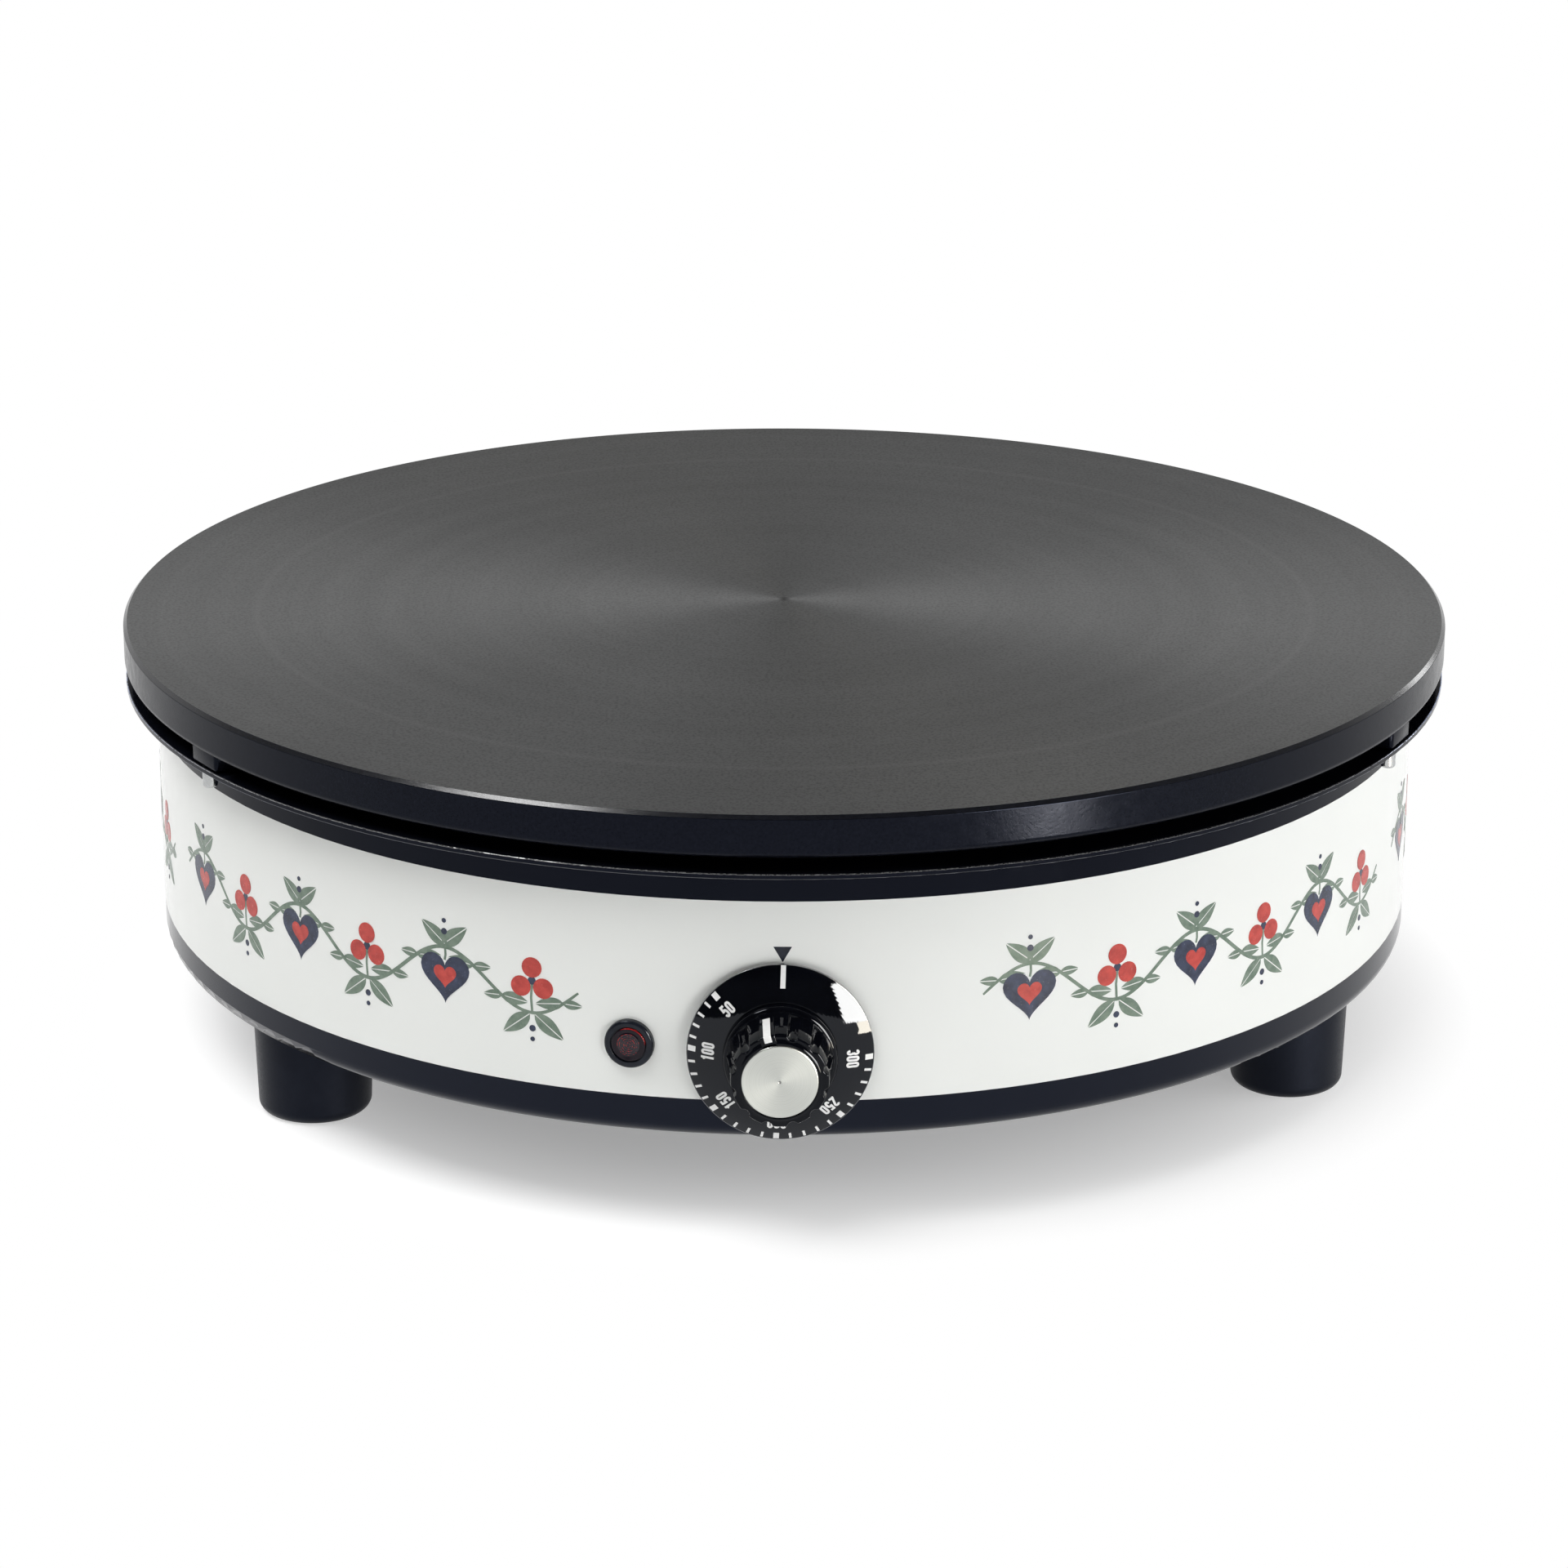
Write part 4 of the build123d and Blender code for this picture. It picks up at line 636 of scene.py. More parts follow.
def fluted(radius, angle):
    """Radius of the grip at an angle, with the flutes' edges eased."""
    pitch = TAU / FLUTES
    across = (angle - TAU / 4) % pitch - pitch / 2
    centre = radius + FLUTE_OUTSET
    inside = FLUTE_RADIUS**2 - (centre * math.sin(across)) ** 2
    if inside <= 0:
        return radius
    cut = centre * math.cos(across) - math.sqrt(inside)
    ease = max(0.0, 1 - abs(cut - radius) / FLUTE_BLEND)
    return min(cut, radius) - ease * ease * FLUTE_BLEND / 4


def knob_ring(depth, radius, flute=False):
    angles = [TAU * step / KNOB_STEPS for step in range(KNOB_STEPS)]
    reach = [fluted(radius, angle) if flute else radius for angle in angles]
    return [(r * math.cos(a), r * math.sin(a), depth) for r, a in zip(reach, angles)]


def grip_radius(depth):
    along = (depth - GRIP_BACK) / (GRIP_FRONT - GRIP_BACK)
    return GRIP_BACK_RADIUS + (GRIP_FRONT_RADIUS - GRIP_BACK_RADIUS) * along


knob_rings = [
    knob_ring(DISC_CROWN - DISC_SHEET, SHAFT_BORE),
    knob_ring(DISC_CROWN - DISC_SHEET, SPIGOT_RADIUS - 0.05),
    knob_ring(DISC_CROWN + 0.02, SPIGOT_RADIUS - 0.05),
    knob_ring(DISC_CROWN + 0.02, KNOB_BASE_RADIUS),
    knob_ring(KNOB_BASE_FRONT - KNOB_BASE_ROUND, KNOB_BASE_RADIUS),
]
for step in range(1, 9):
    turn = math.radians(90) * step / 8
    knob_radius = KNOB_BASE_RADIUS - KNOB_BASE_ROUND * (1 - math.cos(turn))
    knob_depth = KNOB_BASE_FRONT - KNOB_BASE_ROUND * (1 - math.sin(turn))
    if knob_radius > GRIP_BACK_RADIUS + 0.05:
        knob_rings.append(knob_ring(knob_depth, knob_radius))
knob_rings += [
    knob_ring(KNOB_BASE_FRONT - 0.15, GRIP_BACK_RADIUS),
    knob_ring(GRIP_BACK - 0.2, GRIP_BACK_RADIUS),
    knob_ring(GRIP_BACK - 0.06, GRIP_BACK_RADIUS - 0.05),
    knob_ring(GRIP_BACK, GRIP_BACK_RADIUS - 0.18),
    knob_ring(GRIP_BACK + 0.02, GRIP_BACK_RADIUS - 0.2, flute=True),
]
for depth in (GRIP_BACK + 0.15, GRIP_BACK + 0.4, (GRIP_BACK + GRIP_FRONT) / 2, GRIP_FRONT - GRIP_ROUND):
    knob_rings.append(knob_ring(depth, grip_radius(depth), flute=True))
for step in range(1, 6):
    turn = math.radians(90) * step / 5
    knob_rings.append(knob_ring(GRIP_FRONT - GRIP_ROUND * (1 - math.sin(turn)),
                                grip_radius(GRIP_FRONT) - GRIP_ROUND * (1 - math.cos(turn)), flute=True))
knob_rings += [
    knob_ring(GRIP_FRONT, RING_OUTER),
    knob_ring(RING_FRONT - 0.08, RING_INNER + 0.06),
    knob_ring(RING_FRONT, RING_INNER - 0.08),
    knob_ring(RING_FRONT, CAP_RADIUS + 0.16),
    knob_ring(RING_FRONT - 0.08, CAP_RADIUS + 0.08),
    knob_ring(CAP_BACK - 0.02, CAP_RADIUS + 0.08),
    knob_ring(CAP_BACK - 0.02, 0.01),
]
TAB_WIDTH = 4.4
TAB_ROOT = 10.0
TAB_FRONT = GRIP_FRONT + 0.3
TAB_BACK_HEIGHT = 15.2
TAB_FRONT_HEIGHT = 13.6
index_turn = math.radians(INDEX_AZIMUTH)
# side frame of the tab: x along the knob's axis, y away from the axis, z across the tab
index_side = dial_place @ Matrix((
    (0, math.sin(index_turn), math.cos(index_turn), 0),
    (0, math.cos(index_turn), -math.sin(index_turn), 0),
    (1, 0, 0, 0),
    (0, 0, 0, 1),
))
tab_outline = [
    (KNOB_BASE_FRONT - 0.5, TAB_ROOT),
    (TAB_FRONT, TAB_ROOT),
    (TAB_FRONT, TAB_FRONT_HEIGHT),
    (GRIP_BACK - 0.2, TAB_BACK_HEIGHT),
    (KNOB_BASE_FRONT - 0.5, TAB_BACK_HEIGHT - 0.6),
]
knob_meshes = [
    skin(knob_rings, dial_place, sharp=48.0),
    rounded_block(tab_outline, -TAB_WIDTH / 2, TAB_WIDTH / 2, index_side, 0.4),
]
add_piece("knob_fluted", knob_meshes, ["knob_black"], "dial", ["knob_grip"])

STRIP_WIDTH = 2.1
STRIP_DEPTH = 0.6
STRIP_PROUD = 0.06
STRIP_BACK = GRIP_BACK + 3.2
STRIP_BACK_HEIGHT = TAB_BACK_HEIGHT - 0.38
STRIP_FOOT_HEIGHT = 11.7
strip_outline = [
    (STRIP_BACK, STRIP_BACK_HEIGHT - STRIP_DEPTH),
    (TAB_FRONT - STRIP_DEPTH, TAB_FRONT_HEIGHT - STRIP_DEPTH),
    (TAB_FRONT - STRIP_DEPTH, STRIP_FOOT_HEIGHT),
    (TAB_FRONT + STRIP_PROUD, STRIP_FOOT_HEIGHT),
    (TAB_FRONT + STRIP_PROUD, TAB_FRONT_HEIGHT + STRIP_PROUD),
    (STRIP_BACK, STRIP_BACK_HEIGHT + STRIP_PROUD),
]
add_piece("knob_index_strip",
          [rounded_block(strip_outline, -STRIP_WIDTH / 2, STRIP_WIDTH / 2, index_side, 0.1, steps=2)],
          ["index_white"], "dial", ["knob_index"])

cap_outline = [
    (0, CAP_FRONT - 0.05, 0, 0),
    (0.30, CAP_FRONT - 0.05, 0.1, 0),
    (0.45, CAP_FRONT, 0.1, 0),
    (CAP_RADIUS, CAP_FRONT, CAP_ROUND, 0),
    (CAP_RADIUS, CAP_BACK, 0, 0),
    (0, CAP_BACK, 0, 0),
]
add_piece("knob_cap_spun", [lathe(cap_outline, dial_place, segments=128)],
          ["spun_aluminium"], "dial", ["knob_cap"])

# ---------------- pilot lamp
LENS_GAP = 0.02
LENS_RIM_GAP = 0.35
lamp_place = stand(LAMP_AZIMUTH, LAMP_RADIUS, LAMP_HEIGHT)
bezel_outline = [
    (LENS_RADIUS + LENS_RIM_GAP, BEZEL_HEIGHT, 0.12, 0),
    (BEZEL_RADIUS, BEZEL_HEIGHT, 0.9, 0),
    (BEZEL_RADIUS, 0, 0, 0),
    (BARREL_RADIUS, 0, 0, 0),
    (BARREL_RADIUS, BARREL_BACK, 0, 0),
    (BEZEL_BORE, BARREL_BACK, 0, 0),
    (BEZEL_BORE, LENS_SEAT - LENS_GAP, 0, 0),
    (LENS_RADIUS + LENS_RIM_GAP, LENS_SEAT - LENS_GAP, 0, 0),
]
add_piece("lamp_bezel_turned", [lathe(bezel_outline, lamp_place, segments=96, closed=True)],
          ["black_plastic"], "base", ["lamp_bezel"])
lens_outline = [(0, LENS_FRONT, 0, 0)]
ridge = 0.0
while ridge + RIDGE_PITCH <= RIDGED_RADIUS:
    lens_outline.append((ridge + RIDGE_PITCH / 2, LENS_FRONT - RIDGE_DEPTH, 0.12, 0))
    lens_outline.append((ridge + RIDGE_PITCH, LENS_FRONT, 0.12, 0))
    ridge += RIDGE_PITCH
lens_outline += [
    (RIDGED_RADIUS + 0.35, LENS_FRONT - 0.15, 0.1, 0),
    (LENS_RADIUS - 0.3, LENS_FRONT + 0.05, 0.2, 0),
    (LENS_RADIUS, LENS_FRONT - 0.15, 0.25, 0),
    (LENS_RADIUS, LENS_SEAT, 0, 0),
    (LENS_STEM, LENS_SEAT, 0, 0),
    (LENS_STEM, LENS_BACK, 0, 0),
    (0, LENS_BACK, 0, 0),
]
add_piece("lamp_lens_ridged", [lathe(lens_outline, lamp_place, segments=96, steps=3)], ["red_lens"], "base",
          ["lamp_lens"])


# ---------------- flat shapes laid on the dial and the drum
PRINT_SINK = 0.01


class Print:
    """Flat shapes in millimetres, laid on a curved surface as thin closed solids."""

    def __init__(self):
        self.work = bmesh.new()

    def polygon(self, outline):
        loop = [Vector((x, y, 0)) for x, y in outline]
        corners = [self.work.verts.new(point) for point in loop]
        for triangle in tessellate_polygon([loop]):
            a, b, c = [corners[index] for index in triangle]
            if (b.co - a.co).cross(c.co - a.co).z < 0:
                b, c = c, b
            self.work.faces.new((a, b, c))

    def ribbon(self, line, widths, closed=False):
        """A band along a line of points; widths holds one width, or one for each point."""
        points = [Vector(point) for point in line]
        count = len(points)
        if not hasattr(widths, "__len__"):
            widths = [widths] * count
        sides = []
        for index, point in enumerate(points):
            before = points[index - 1] if closed or index else point
            after = points[(index + 1) % count] if closed or index < count - 1 else point
            along = (after - before).normalized()
            across = Vector((-along.y, along.x))
            first = (point - before).normalized() if (point - before).length else along
            stretch = min(1.6, 1 / max(0.3, abs(first.dot(along))))
            reach = across * widths[index] / 2 * stretch
            sides.append([self.work.verts.new((*edge, 0)) for edge in (point - reach, point + reach)])
        last = count if closed else count - 1
        for index in range(last):
            low, high = sides[index], sides[(index + 1) % count]
            self.work.faces.new((low[0], high[0], high[1], low[1]))

    def disc(self, x, y, radius, steps=24):
        angles = [TAU * step / steps for step in range(steps)]
        self.polygon([(x + radius * math.cos(a), y + radius * math.sin(a)) for a in angles])

    def lay(self, where, thickness, slice_width=None):
        """Mesh of the shapes with each point moved to where(x, y, lift)."""
        work = self.work
        if slice_width:
            low = min(vertex.co.x for vertex in work.verts)
            high = max(vertex.co.x for vertex in work.verts)
            cut = low + slice_width
            while cut < high:
                geometry = work.verts[:] + work.edges[:] + work.faces[:]
                bmesh.ops.bisect_plane(work, geom=geometry, dist=1e-5,
                                       plane_co=(cut, 0, 0), plane_no=(1, 0, 0))
                cut += slice_width
        top = work.faces[:]
        pairs = bmesh.ops.duplicate(work, geom=work.verts[:] + work.edges[:] + top)["vert_map"]
        upper = {vertex for face in top for vertex in face.verts}
        rim = [edge for edge in work.edges if edge.verts[0] in upper and len(edge.link_faces) == 1]
        for edge in rim:
            loop = edge.link_loops[0]
            a, b = loop.vert, loop.link_loop_next.vert
            work.faces.new((b, a, pairs[a], pairs[b]))
        under = {pairs[vertex] for vertex in upper}
        for face in work.faces:
            if all(vertex in under for vertex in face.verts):
                face.normal_flip()
        for vertex in upper:
            vertex.co = where(vertex.co.x, vertex.co.y, thickness)
        for vertex in under:
            vertex.co = where(vertex.co.x, vertex.co.y, -PRINT_SINK)
        mesh = bpy.data.meshes.new("print")
        work.to_mesh(mesh)
        work.free()
        return mesh


def on_dial(x, y, lift):
    """A place on the dial's cone: x and y from its axis, seen from the front."""
    return dial_place @ Vector((x, y, disc_depth(math.hypot(x, y)) + lift))


def on_drum(along, height, lift):
    """A place on the drum: the way along its wall from the front, and the height above the floor."""
    turn = along / DRUM_RADIUS
    radius = DRUM_RADIUS + lift
    return Vector((radius * math.sin(turn), -radius * math.cos(turn), height))


# ---------------- dial print
DIGIT_HEIGHT = 3.55
DIGIT_WIDTH = 1.6
DIGIT_STROKE = 0.64
DIGIT_PITCH = 1.82


def arc(cx, cy, rx, ry, start, end, steps=10):
    """Points of an ellipse's arc, from start to end in degrees."""
    angles = [math.radians(start + (end - start) * step / steps) for step in range(steps + 1)]
    return [(cx + rx * math.cos(a), cy + ry * math.sin(a)) for a in angles]


def digit_lines(digit):
    """Centre lines of a condensed digit, from its lower left corner: (points, closed)."""
    half = DIGIT_STROKE / 2
    left, right = half, DIGIT_WIDTH - half
    low, high = half, DIGIT_HEIGHT - half
    middle, reach = DIGIT_WIDTH / 2, (right - left) / 2
    crown = reach * 1.05
    if digit == "0":
        upper = arc(middle, high - crown, reach, crown, 0, 180)
        lower = arc(middle, low + crown, reach, crown, 180, 360)
        return [(upper + lower, True)]
    if digit == "1":
        stem = middle + 0.16
        bends = ((0.62, 0.98), (0.28, 0.80), (0, 0.45))
        flag = [(stem - across, DIGIT_HEIGHT - down) for across, down in bends]
        return [([(stem, 0), (stem, DIGIT_HEIGHT)], False), (flag, False)]
    if digit == "2":
        line = arc(middle, high - crown, reach, crown, 175, -35, 12)
        line += [(left + 0.22, low + 0.55), (left, low + 0.02)]
        return [(line, False), ([(0.0, low), (DIGIT_WIDTH, low)], False)]
    if digit == "3":
        upper = arc(middle, high - 0.68, reach, 0.68, 170, -80, 12)
        lower = arc(middle, low + 0.80, reach, 0.80, 80, -170, 12)
        return [(upper, False), (lower, False)]
    bowl = 0.92
    line = arc(middle, low + bowl, reach, bowl, -165, 125, 14)
    return [([(right + 0.1, high), (left + 0.12, high)], False),
            ([(left + 0.12, high + half), (left + 0.02, low + 1.35)], False), (line, False)]


BAR_OFFSET = 1.9
ENGRAVED = [(50, 48.3), (100, 88.3), (150, 133.2), (200, 179.2), (250, 224.7), (300, 270.0)]
MINOR_TICKS = 4
MAJOR_SPAN = (23.3, 25.4)
MINOR_SPAN = (23.5, 25.4)
MAJOR_WIDTH = 1.6
MINOR_WIDTH = 0.72
BAR_SPAN = (19.9, 25.65)
BAR_WIDTH = 1.4
LABEL_RADIUS = 19.9


def dial_direction(degrees):
    """Outward and clockwise directions at an angle clockwise from the top."""
    turn = math.radians(degrees)
    return Vector((math.sin(turn), math.cos(turn))), Vector((math.cos(turn), -math.sin(turn)))


def refined(line, reach=0.7):
    """The same line with no run longer than the reach, so that it can follow a curved face."""
    points = [Vector(line[0])]
    for point in line[1:]:
        gap = Vector(point) - points[-1]
        count = max(1, math.ceil(gap.length / reach))
        points += [points[-1] + gap * step / count for step in range(1, count + 1)]
    return points


def dial_block(degrees, span, width):
    out, _ = dial_direction(degrees)
    dial_print.ribbon(refined([out * span[0], out * span[1]]), width)


dial_print = Print()
dial_block(BAR_OFFSET, BAR_SPAN, BAR_WIDTH)
for _, offset in ENGRAVED:
    dial_block(BAR_OFFSET - offset, MAJOR_SPAN, MAJOR_WIDTH)
for (_, start), (_, end) in zip(ENGRAVED, ENGRAVED[1:]):
    for step in range(1, MINOR_TICKS + 1):
        offset = start + (end - start) * step / (MINOR_TICKS + 1)
        dial_block(BAR_OFFSET - offset, MINOR_SPAN, MINOR_WIDTH)
for value, offset in ENGRAVED:
    out, side = dial_direction(BAR_OFFSET - offset)
    digits = str(value)
    origin = -((len(digits) - 1) * DIGIT_PITCH + DIGIT_WIDTH) / 2
    for place, digit in enumerate(digits):
        for line, closed in digit_lines(digit):
            placed_line = [
                out * (LABEL_RADIUS + y - DIGIT_HEIGHT / 2) + side * (origin + place * DIGIT_PITCH + x)
                for x, y in line
            ]
            dial_print.ribbon(refined(placed_line), DIGIT_STROKE, closed)
add_piece("dial_print", [dial_print.lay(on_dial, 0.045)], ["print_white"], "dial")

# ---------------- marker above the dial
MARKER_TIP = (0.6, 82.55)
MARKER_WIDTH = 5.1
MARKER_HEIGHT = 4.5
marker = Print()
marker_top = MARKER_TIP[1] + MARKER_HEIGHT
marker_left = MARKER_TIP[0] - MARKER_WIDTH / 2
marker.polygon([(marker_left, marker_top), MARKER_TIP, (marker_left + MARKER_WIDTH, marker_top)])
add_piece("marker_triangle", [marker.lay(on_drum, 0.05, 1.0)], ["print_dark"], "base")

# ---------------- drum decoration: a scrolling vine
VINE_HEIGHT = 70.0
VINE_WAVE = 7.5
VINE_WAVES = 3
STEM_WIDTH = 1.1
STALK_WIDTH = 0.7
HEART_SIZE = 16.0
HEART_MIDDLE_SIZE = 7.4
BERRY_RADIUS = 3.0
BERRY_SPREAD = 3.9
CREST_LEAF = (10.5, 4.4)  # length and width
UPPER_LEAF = (8.0, 3.4)
LOWER_LEAF = (5.5, 2.4)
VEIN_HALF_WIDTH = 0.16
LEAF_STEPS = 12
HEART_STEPS = 40
STEM_STEPS = 120
VINE_GROUPS = [(17.0, 66.5), (71.5, 121.0), (126.0, 172.0)]  # azimuths, on both sides of the dial
PAINT_SLICE = 2.5  # widest flat stretch of a painted shape round the drum


def leaf(prints, x, y, turn, length, width):
    """An almond leaf with a light vein down its middle."""
    along = Vector((math.cos(turn), math.sin(turn)))
    across = Vector((-along.y, along.x))
    root = Vector((x, y))
    for side in (-1, 1):
        inner = across * side * VEIN_HALF_WIDTH
        edge = []
        for step in range(LEAF_STEPS + 1):
            where = step / LEAF_STEPS
            swell = math.sin(math.pi * where**0.8) ** 0.9
            edge.append(root + along * length * where + inner + across * side * swell * width / 2)
        vein = [root + along * length * where + inner for where in (0.97, 0.6, 0.3, 0.03)]
        prints.polygon(edge + vein)


def heart(prints, x, y, size):
    """An upright heart round a place."""
    outline = []
    for step in range(HEART_STEPS):
        angle = TAU * step / HEART_STEPS
        across = 16 * math.sin(angle) ** 3
        high = 13 * math.cos(angle) - 5 * math.cos(2 * angle) - 2 * math.cos(3 * angle) - math.cos(4 * angle)
        outline.append((x + across * size / 32, y + (high + 2.5) * size / 32))
    prints.polygon(outline)


green, red, navy = Print(), Print(), Print()


def vine(start, end):
    """One run of the border between two ways along the drum."""
    length = end - start
    wave = length / VINE_WAVES

    def height(s):
        return VINE_HEIGHT + VINE_WAVE * math.sin(TAU * (s - start) / wave)

    def slope(s):
        return math.atan(VINE_WAVE * TAU / wave * math.cos(TAU * (s - start) / wave))

    line, widths = [], []
    for step in range(STEM_STEPS + 1):
        s = start + length * step / STEM_STEPS
        line.append((s, height(s)))
        widths.append(STEM_WIDTH * (0.55 + 0.45 * math.sin(math.pi * step / STEM_STEPS) ** 0.3))
    green.ribbon(line, widths)
    for bay in range(2 * VINE_WAVES):
        middle = start + wave * (bay / 2 + 0.25)
        up = 1 if bay % 2 == 0 else -1
        inner = VINE_HEIGHT - up * 2.0
        if bay % 2 == 0:
            heart(navy, middle, inner, HEART_SIZE)
            heart(red, middle, inner + 0.5, HEART_MIDDLE_SIZE)
            stalk = [(middle, inner + 5.6), (middle + 0.3, inner + 7.2), (middle + 0.2, height(middle))]
        else:
            for turn in (90, 210, 330):
                across = BERRY_SPREAD * math.cos(math.radians(turn))
                rise = BERRY_SPREAD * math.sin(math.radians(turn))
                red.disc(middle + across, inner + rise, BERRY_RADIUS)
            navy.disc(middle, inner, 1.2)
            stalk = [(middle, inner - 1.0), (middle - 0.3, inner - 5.0), (middle, height(middle))]
        green.ribbon(stalk, STALK_WIDTH)
        crest = height(middle) + up * 0.4
        for lean in (-1, 1):
            angle = math.radians(90 * up + lean * 52)
            size = CREST_LEAF[0] + chance.uniform(-0.5, 0.5)
            leaf(green, middle + lean * 0.8, crest, angle, size, CREST_LEAF[1])
        navy.disc(middle, crest + up * 4.2, 0.95)
        navy.disc(middle, crest + up * 7.4, 0.7)
        for side in (-1, 1):
            s = middle + side * wave * 0.17
            angle = slope(s) + math.radians(150 if side > 0 else 30) * (-up)
            size = UPPER_LEAF[0] + chance.uniform(-0.4, 0.4)
            leaf(green, s, height(s), angle, size, UPPER_LEAF[1])
            angle = slope(s) + math.radians(-40 if side > 0 else -140) * (-up)
            leaf(green, s, height(s), angle, *LOWER_LEAF)


for low, high in VINE_GROUPS:
    vine(math.radians(low) * DRUM_RADIUS, math.radians(high) * DRUM_RADIUS)
    vine(-math.radians(high) * DRUM_RADIUS, -math.radians(low) * DRUM_RADIUS)
for colour, prints, lift in (("green", green, 0.04), ("navy", navy, 0.06), ("red", red, 0.08)):
    add_piece(f"drum_paint_{colour}", [prints.lay(on_drum, lift, PAINT_SLICE)], [f"paint_{colour}"], "base")

# ---------------- floor
WHITE = (1, 1, 1, 1)
FLOOR_REACH = 30.0
FLOOR_COLOUR = (0.90, 0.90, 0.90, 1)
SHADOW_EDGE = (0.12, 0.214)  # metres from the middle between which the shadowed floor turns white
FLOOR_GLOW = 0.29  # light of its own that the shadowed floor shows
floor_mesh = bpy.data.meshes.new("floor")
floor_corners = [(x * FLOOR_REACH, y * FLOOR_REACH, 0) for x, y in ((-1, -1), (1, -1), (1, 1), (-1, 1))]
floor_mesh.from_pydata(floor_corners, [], [(0, 1, 2, 3)])
floor = add_object("floor", floor_mesh)
floor_material = bpy.data.materials.new("studio_floor")
ground = Tree(floor_material)
ground.nodes.clear()
rays = ground.node("ShaderNodeLightPath").outputs
seen = ground.math("MAXIMUM", rays["Is Camera Ray"], rays["Is Glossy Ray"])
seen = ground.math("MAXIMUM", seen, rays["Is Transmission Ray"])
place = ground.node("ShaderNodeTexCoord").outputs["Object"]
away = ground.vector("LENGTH", place)["Value"]
fade = ground.math("POWER", ground.remap(away, *SHADOW_EDGE, 0.0, 1.0), 2.0)
paper = ground.node("ShaderNodeBsdfDiffuse", {"Color": FLOOR_COLOUR})
glow_strength = ground.math("MULTIPLY", seen, FLOOR_GLOW)
painted_red_glints = ground.node("ShaderNodeEmission", {"Color": WHITE, "Strength": glow_strength})
near = ground.node("ShaderNodeAddShader", {0: paper.outputs[0], 1: painted_red_glints.outputs[0]})
far = ground.node("ShaderNodeEmission", {"Color": WHITE, "Strength": 1.0})
share = ground.math("MULTIPLY", fade, seen)
surface = ground.node("ShaderNodeMixShader", {0: share, 1: near.outputs[0], 2: far.outputs[0]})
ground.node("ShaderNodeOutputMaterial", {"Surface": surface.outputs[0]})
floor_mesh.materials.append(floor_material)


# ---------------- lights
def softbox(name, azimuth, elevation, distance, width, height, radiance, aim=(0, 0, 0.09), shown=True,
            diffuse=True, tint=(1, 1, 1)):
    """A rectangular light of a given radiance, turned towards a point. Azimuth 0 is the front."""
    turn, rise = math.radians(azimuth), math.radians(elevation)
    away = Vector((math.sin(turn) * math.cos(rise), -math.cos(turn) * math.cos(rise), math.sin(rise)))
    lamp = bpy.data.lights.new(name, "AREA")
    lamp.shape = "RECTANGLE"
    lamp.color = tint
    lamp.size = width
    lamp.size_y = height
    lamp.energy = radiance * math.pi * width * height
    box = add_object(name, lamp)
    box.location = Vector(aim) + away * distance
    box.rotation_euler = away.to_track_quat("Z", "Y").to_euler()
    box.visible_camera = False
    box.visible_glossy = shown
    box.visible_diffuse = diffuse


DIAL_AIM = (0, -0.2, 0.058)
EDGE_AIM = (0.073, -0.186, 0.122)
WARM = (1.0, 0.90, 0.72)  # evens out the blue gloss of the plate's side
PALE_WARM = (1.0, 0.96, 0.88)  # evens out the cool gloss of the dial
softbox("key_right", 35, 7, 1.25, 0.35, 0.43, 9.0, DIAL_AIM, shown=False)
softbox("dial_gloss", 46.7, 11, 1.25, 0.495, 0.58, 41.0, DIAL_AIM, diffuse=False, tint=PALE_WARM)
softbox("edge_gloss", 45.5, -15.6, 0.358, 0.072, 0.050, 38.0, EDGE_AIM, diffuse=False, tint=WARM)
softbox("overhead", 180, 79, 1.55, 1.6, 1.2, 0.5, shown=False)
softbox("left_high", -67, 59, 1.6, 0.53, 0.40, 15.0, diffuse=False)
softbox("left_soft", -90, 50, 1.6, 0.9, 0.7, 4.3, shown=False)
softbox("back_right", 135.5, 18, 1.8, 0.28, 0.40, 5.8)
softbox("fill_left", -35, 62, 1.8, 1.2, 1.0, 5.7, shown=False)
softbox("right_low", 88, 6, 1.8, 1.0, 0.5, 5.5, shown=False)
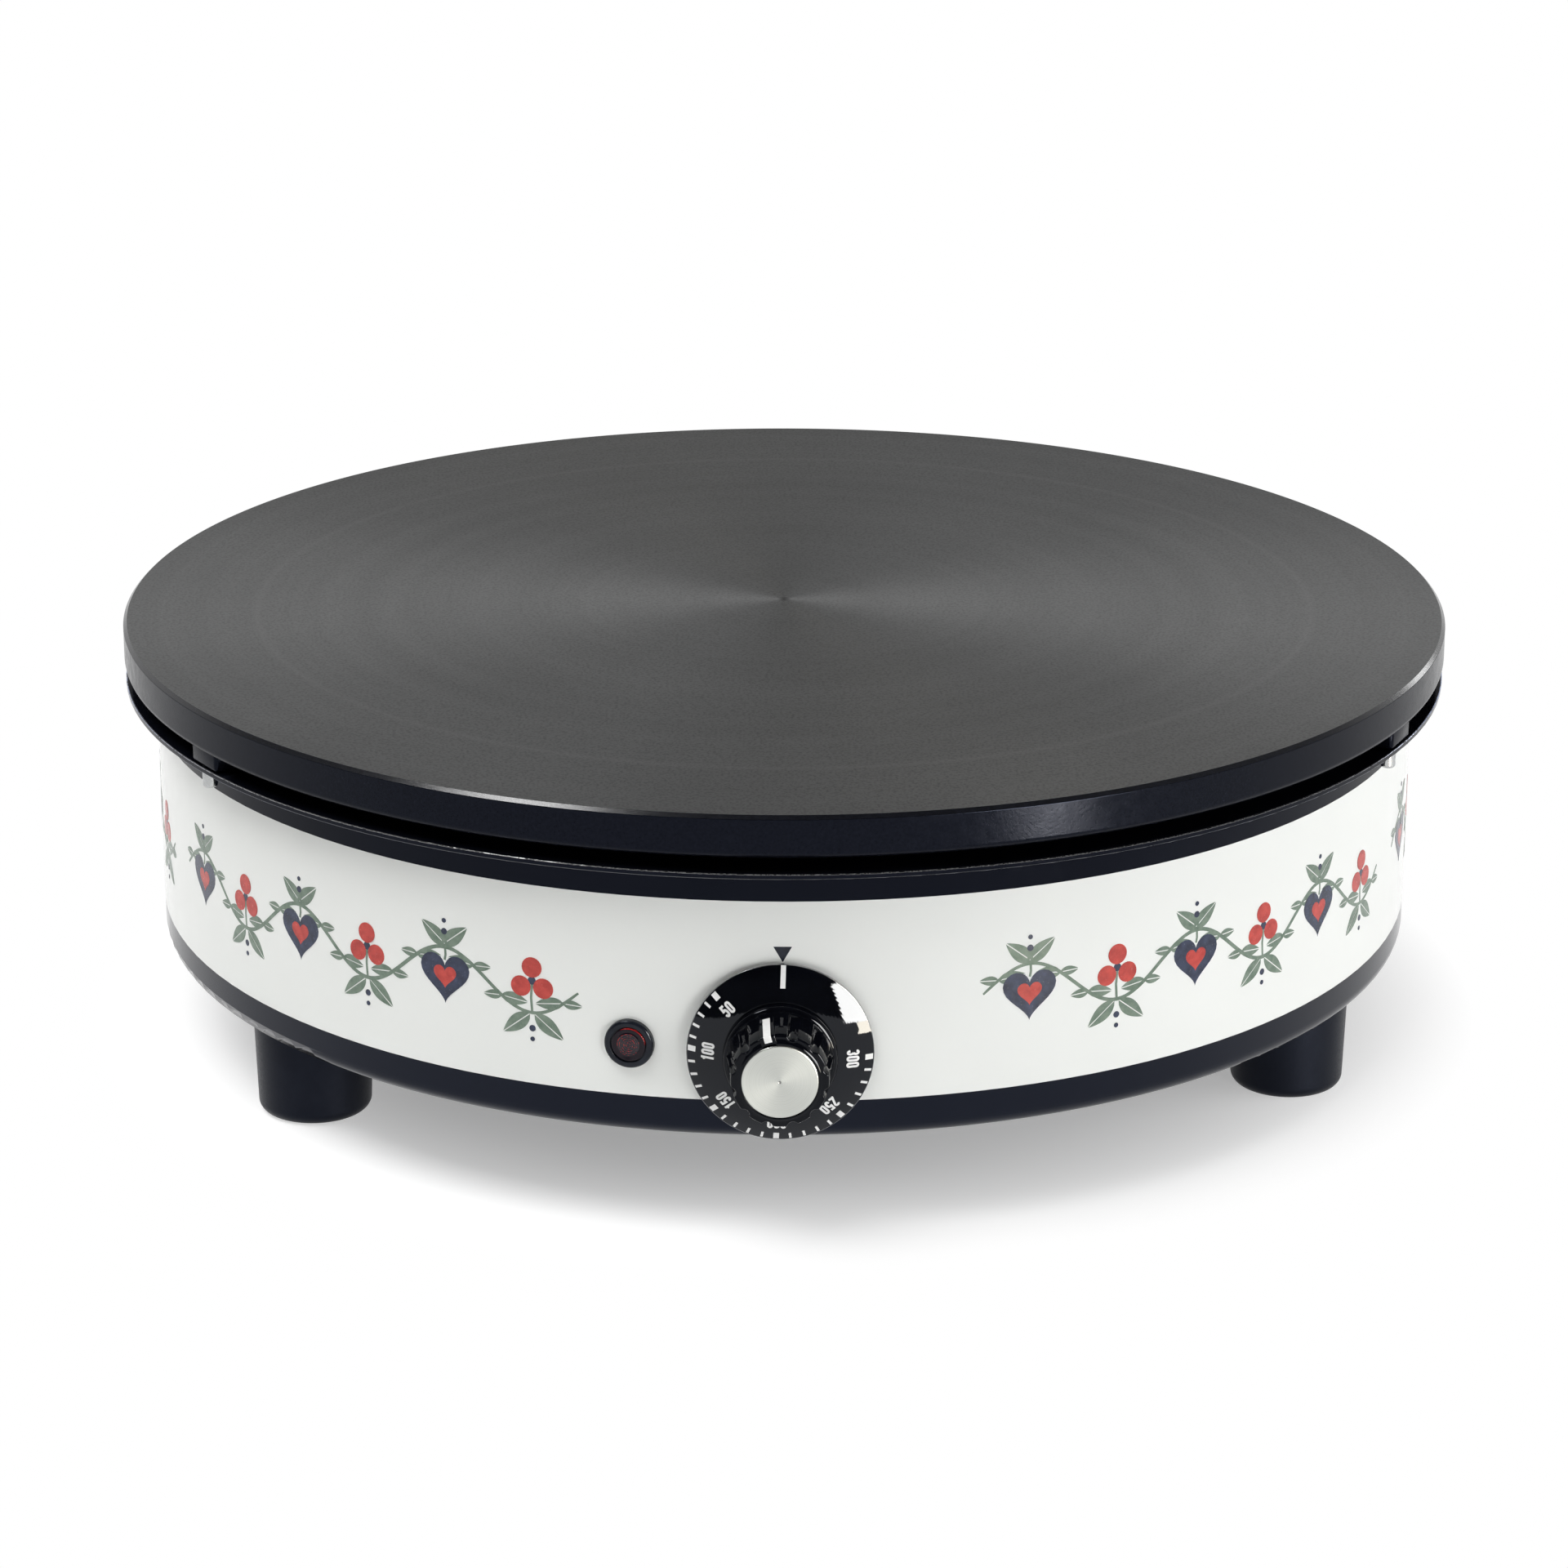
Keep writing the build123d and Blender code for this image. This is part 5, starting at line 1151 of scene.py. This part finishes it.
softbox("fill_right", 62, 14, 1.8, 1.0, 1.0, 1.3, shown=False)

# ---------------- world
SKY_HORIZON = 0.96
SKY_HIGH = 0.215
SKY_RISE = (0.36, 0.55)  # heights of a direction between which the sky darkens
SKY_FRONT = 0.07
SKY_TURN = (-0.75, 0.35)  # ways to the back of a direction between which the sky brightens
world = bpy.data.worlds.new("studio")
bpy.context.scene.world = world
sky = Tree(world)
sky.nodes.clear()
direction = sky.node("ShaderNodeTexCoord").outputs["Generated"]
towards = sky.node("ShaderNodeSeparateXYZ", {0: direction}).outputs
rise = sky.remap(towards["Z"], *SKY_RISE, SKY_HORIZON, SKY_HIGH, "SMOOTHSTEP")
front = sky.remap(towards["Y"], *SKY_TURN, SKY_FRONT, 1.0, "SMOOTHSTEP")
soft = sky.node("ShaderNodeBackground", {"Strength": sky.math("MULTIPLY", rise, front)})
white = sky.node("ShaderNodeBackground", {"Color": WHITE, "Strength": 1.0})
rays = sky.node("ShaderNodeLightPath").outputs
seen = sky.math("MAXIMUM", rays["Is Camera Ray"], rays["Is Transmission Ray"])
mixed = sky.node("ShaderNodeMixShader", {0: seen, 1: soft.outputs[0], 2: white.outputs[0]})
sky.node("ShaderNodeOutputWorld", {"Surface": mixed.outputs[0]})

# ---------------- camera
CAMERA_DISTANCE = 1.5202
CAMERA_HEIGHT = 0.591855
CAMERA_AZIMUTH = 0.27
CAMERA_TILT = 70.998
CAMERA_ROLL = 0.067
CAMERA_LENS = 119.71
camera_data = bpy.data.cameras.new("camera")
camera_data.sensor_width = 36.0
camera_data.lens = CAMERA_LENS
camera = add_object("camera", camera_data)
camera.matrix_world = (
    Matrix.Rotation(math.radians(CAMERA_AZIMUTH), 4, "Z")
    @ Matrix.Translation((0, -CAMERA_DISTANCE, CAMERA_HEIGHT))
    @ Matrix.Rotation(math.radians(CAMERA_TILT), 4, "X")
    @ Matrix.Rotation(math.radians(CAMERA_ROLL), 4, "Z")
)
bpy.context.scene.camera = camera
bpy.context.scene.view_settings.view_transform = "Standard"
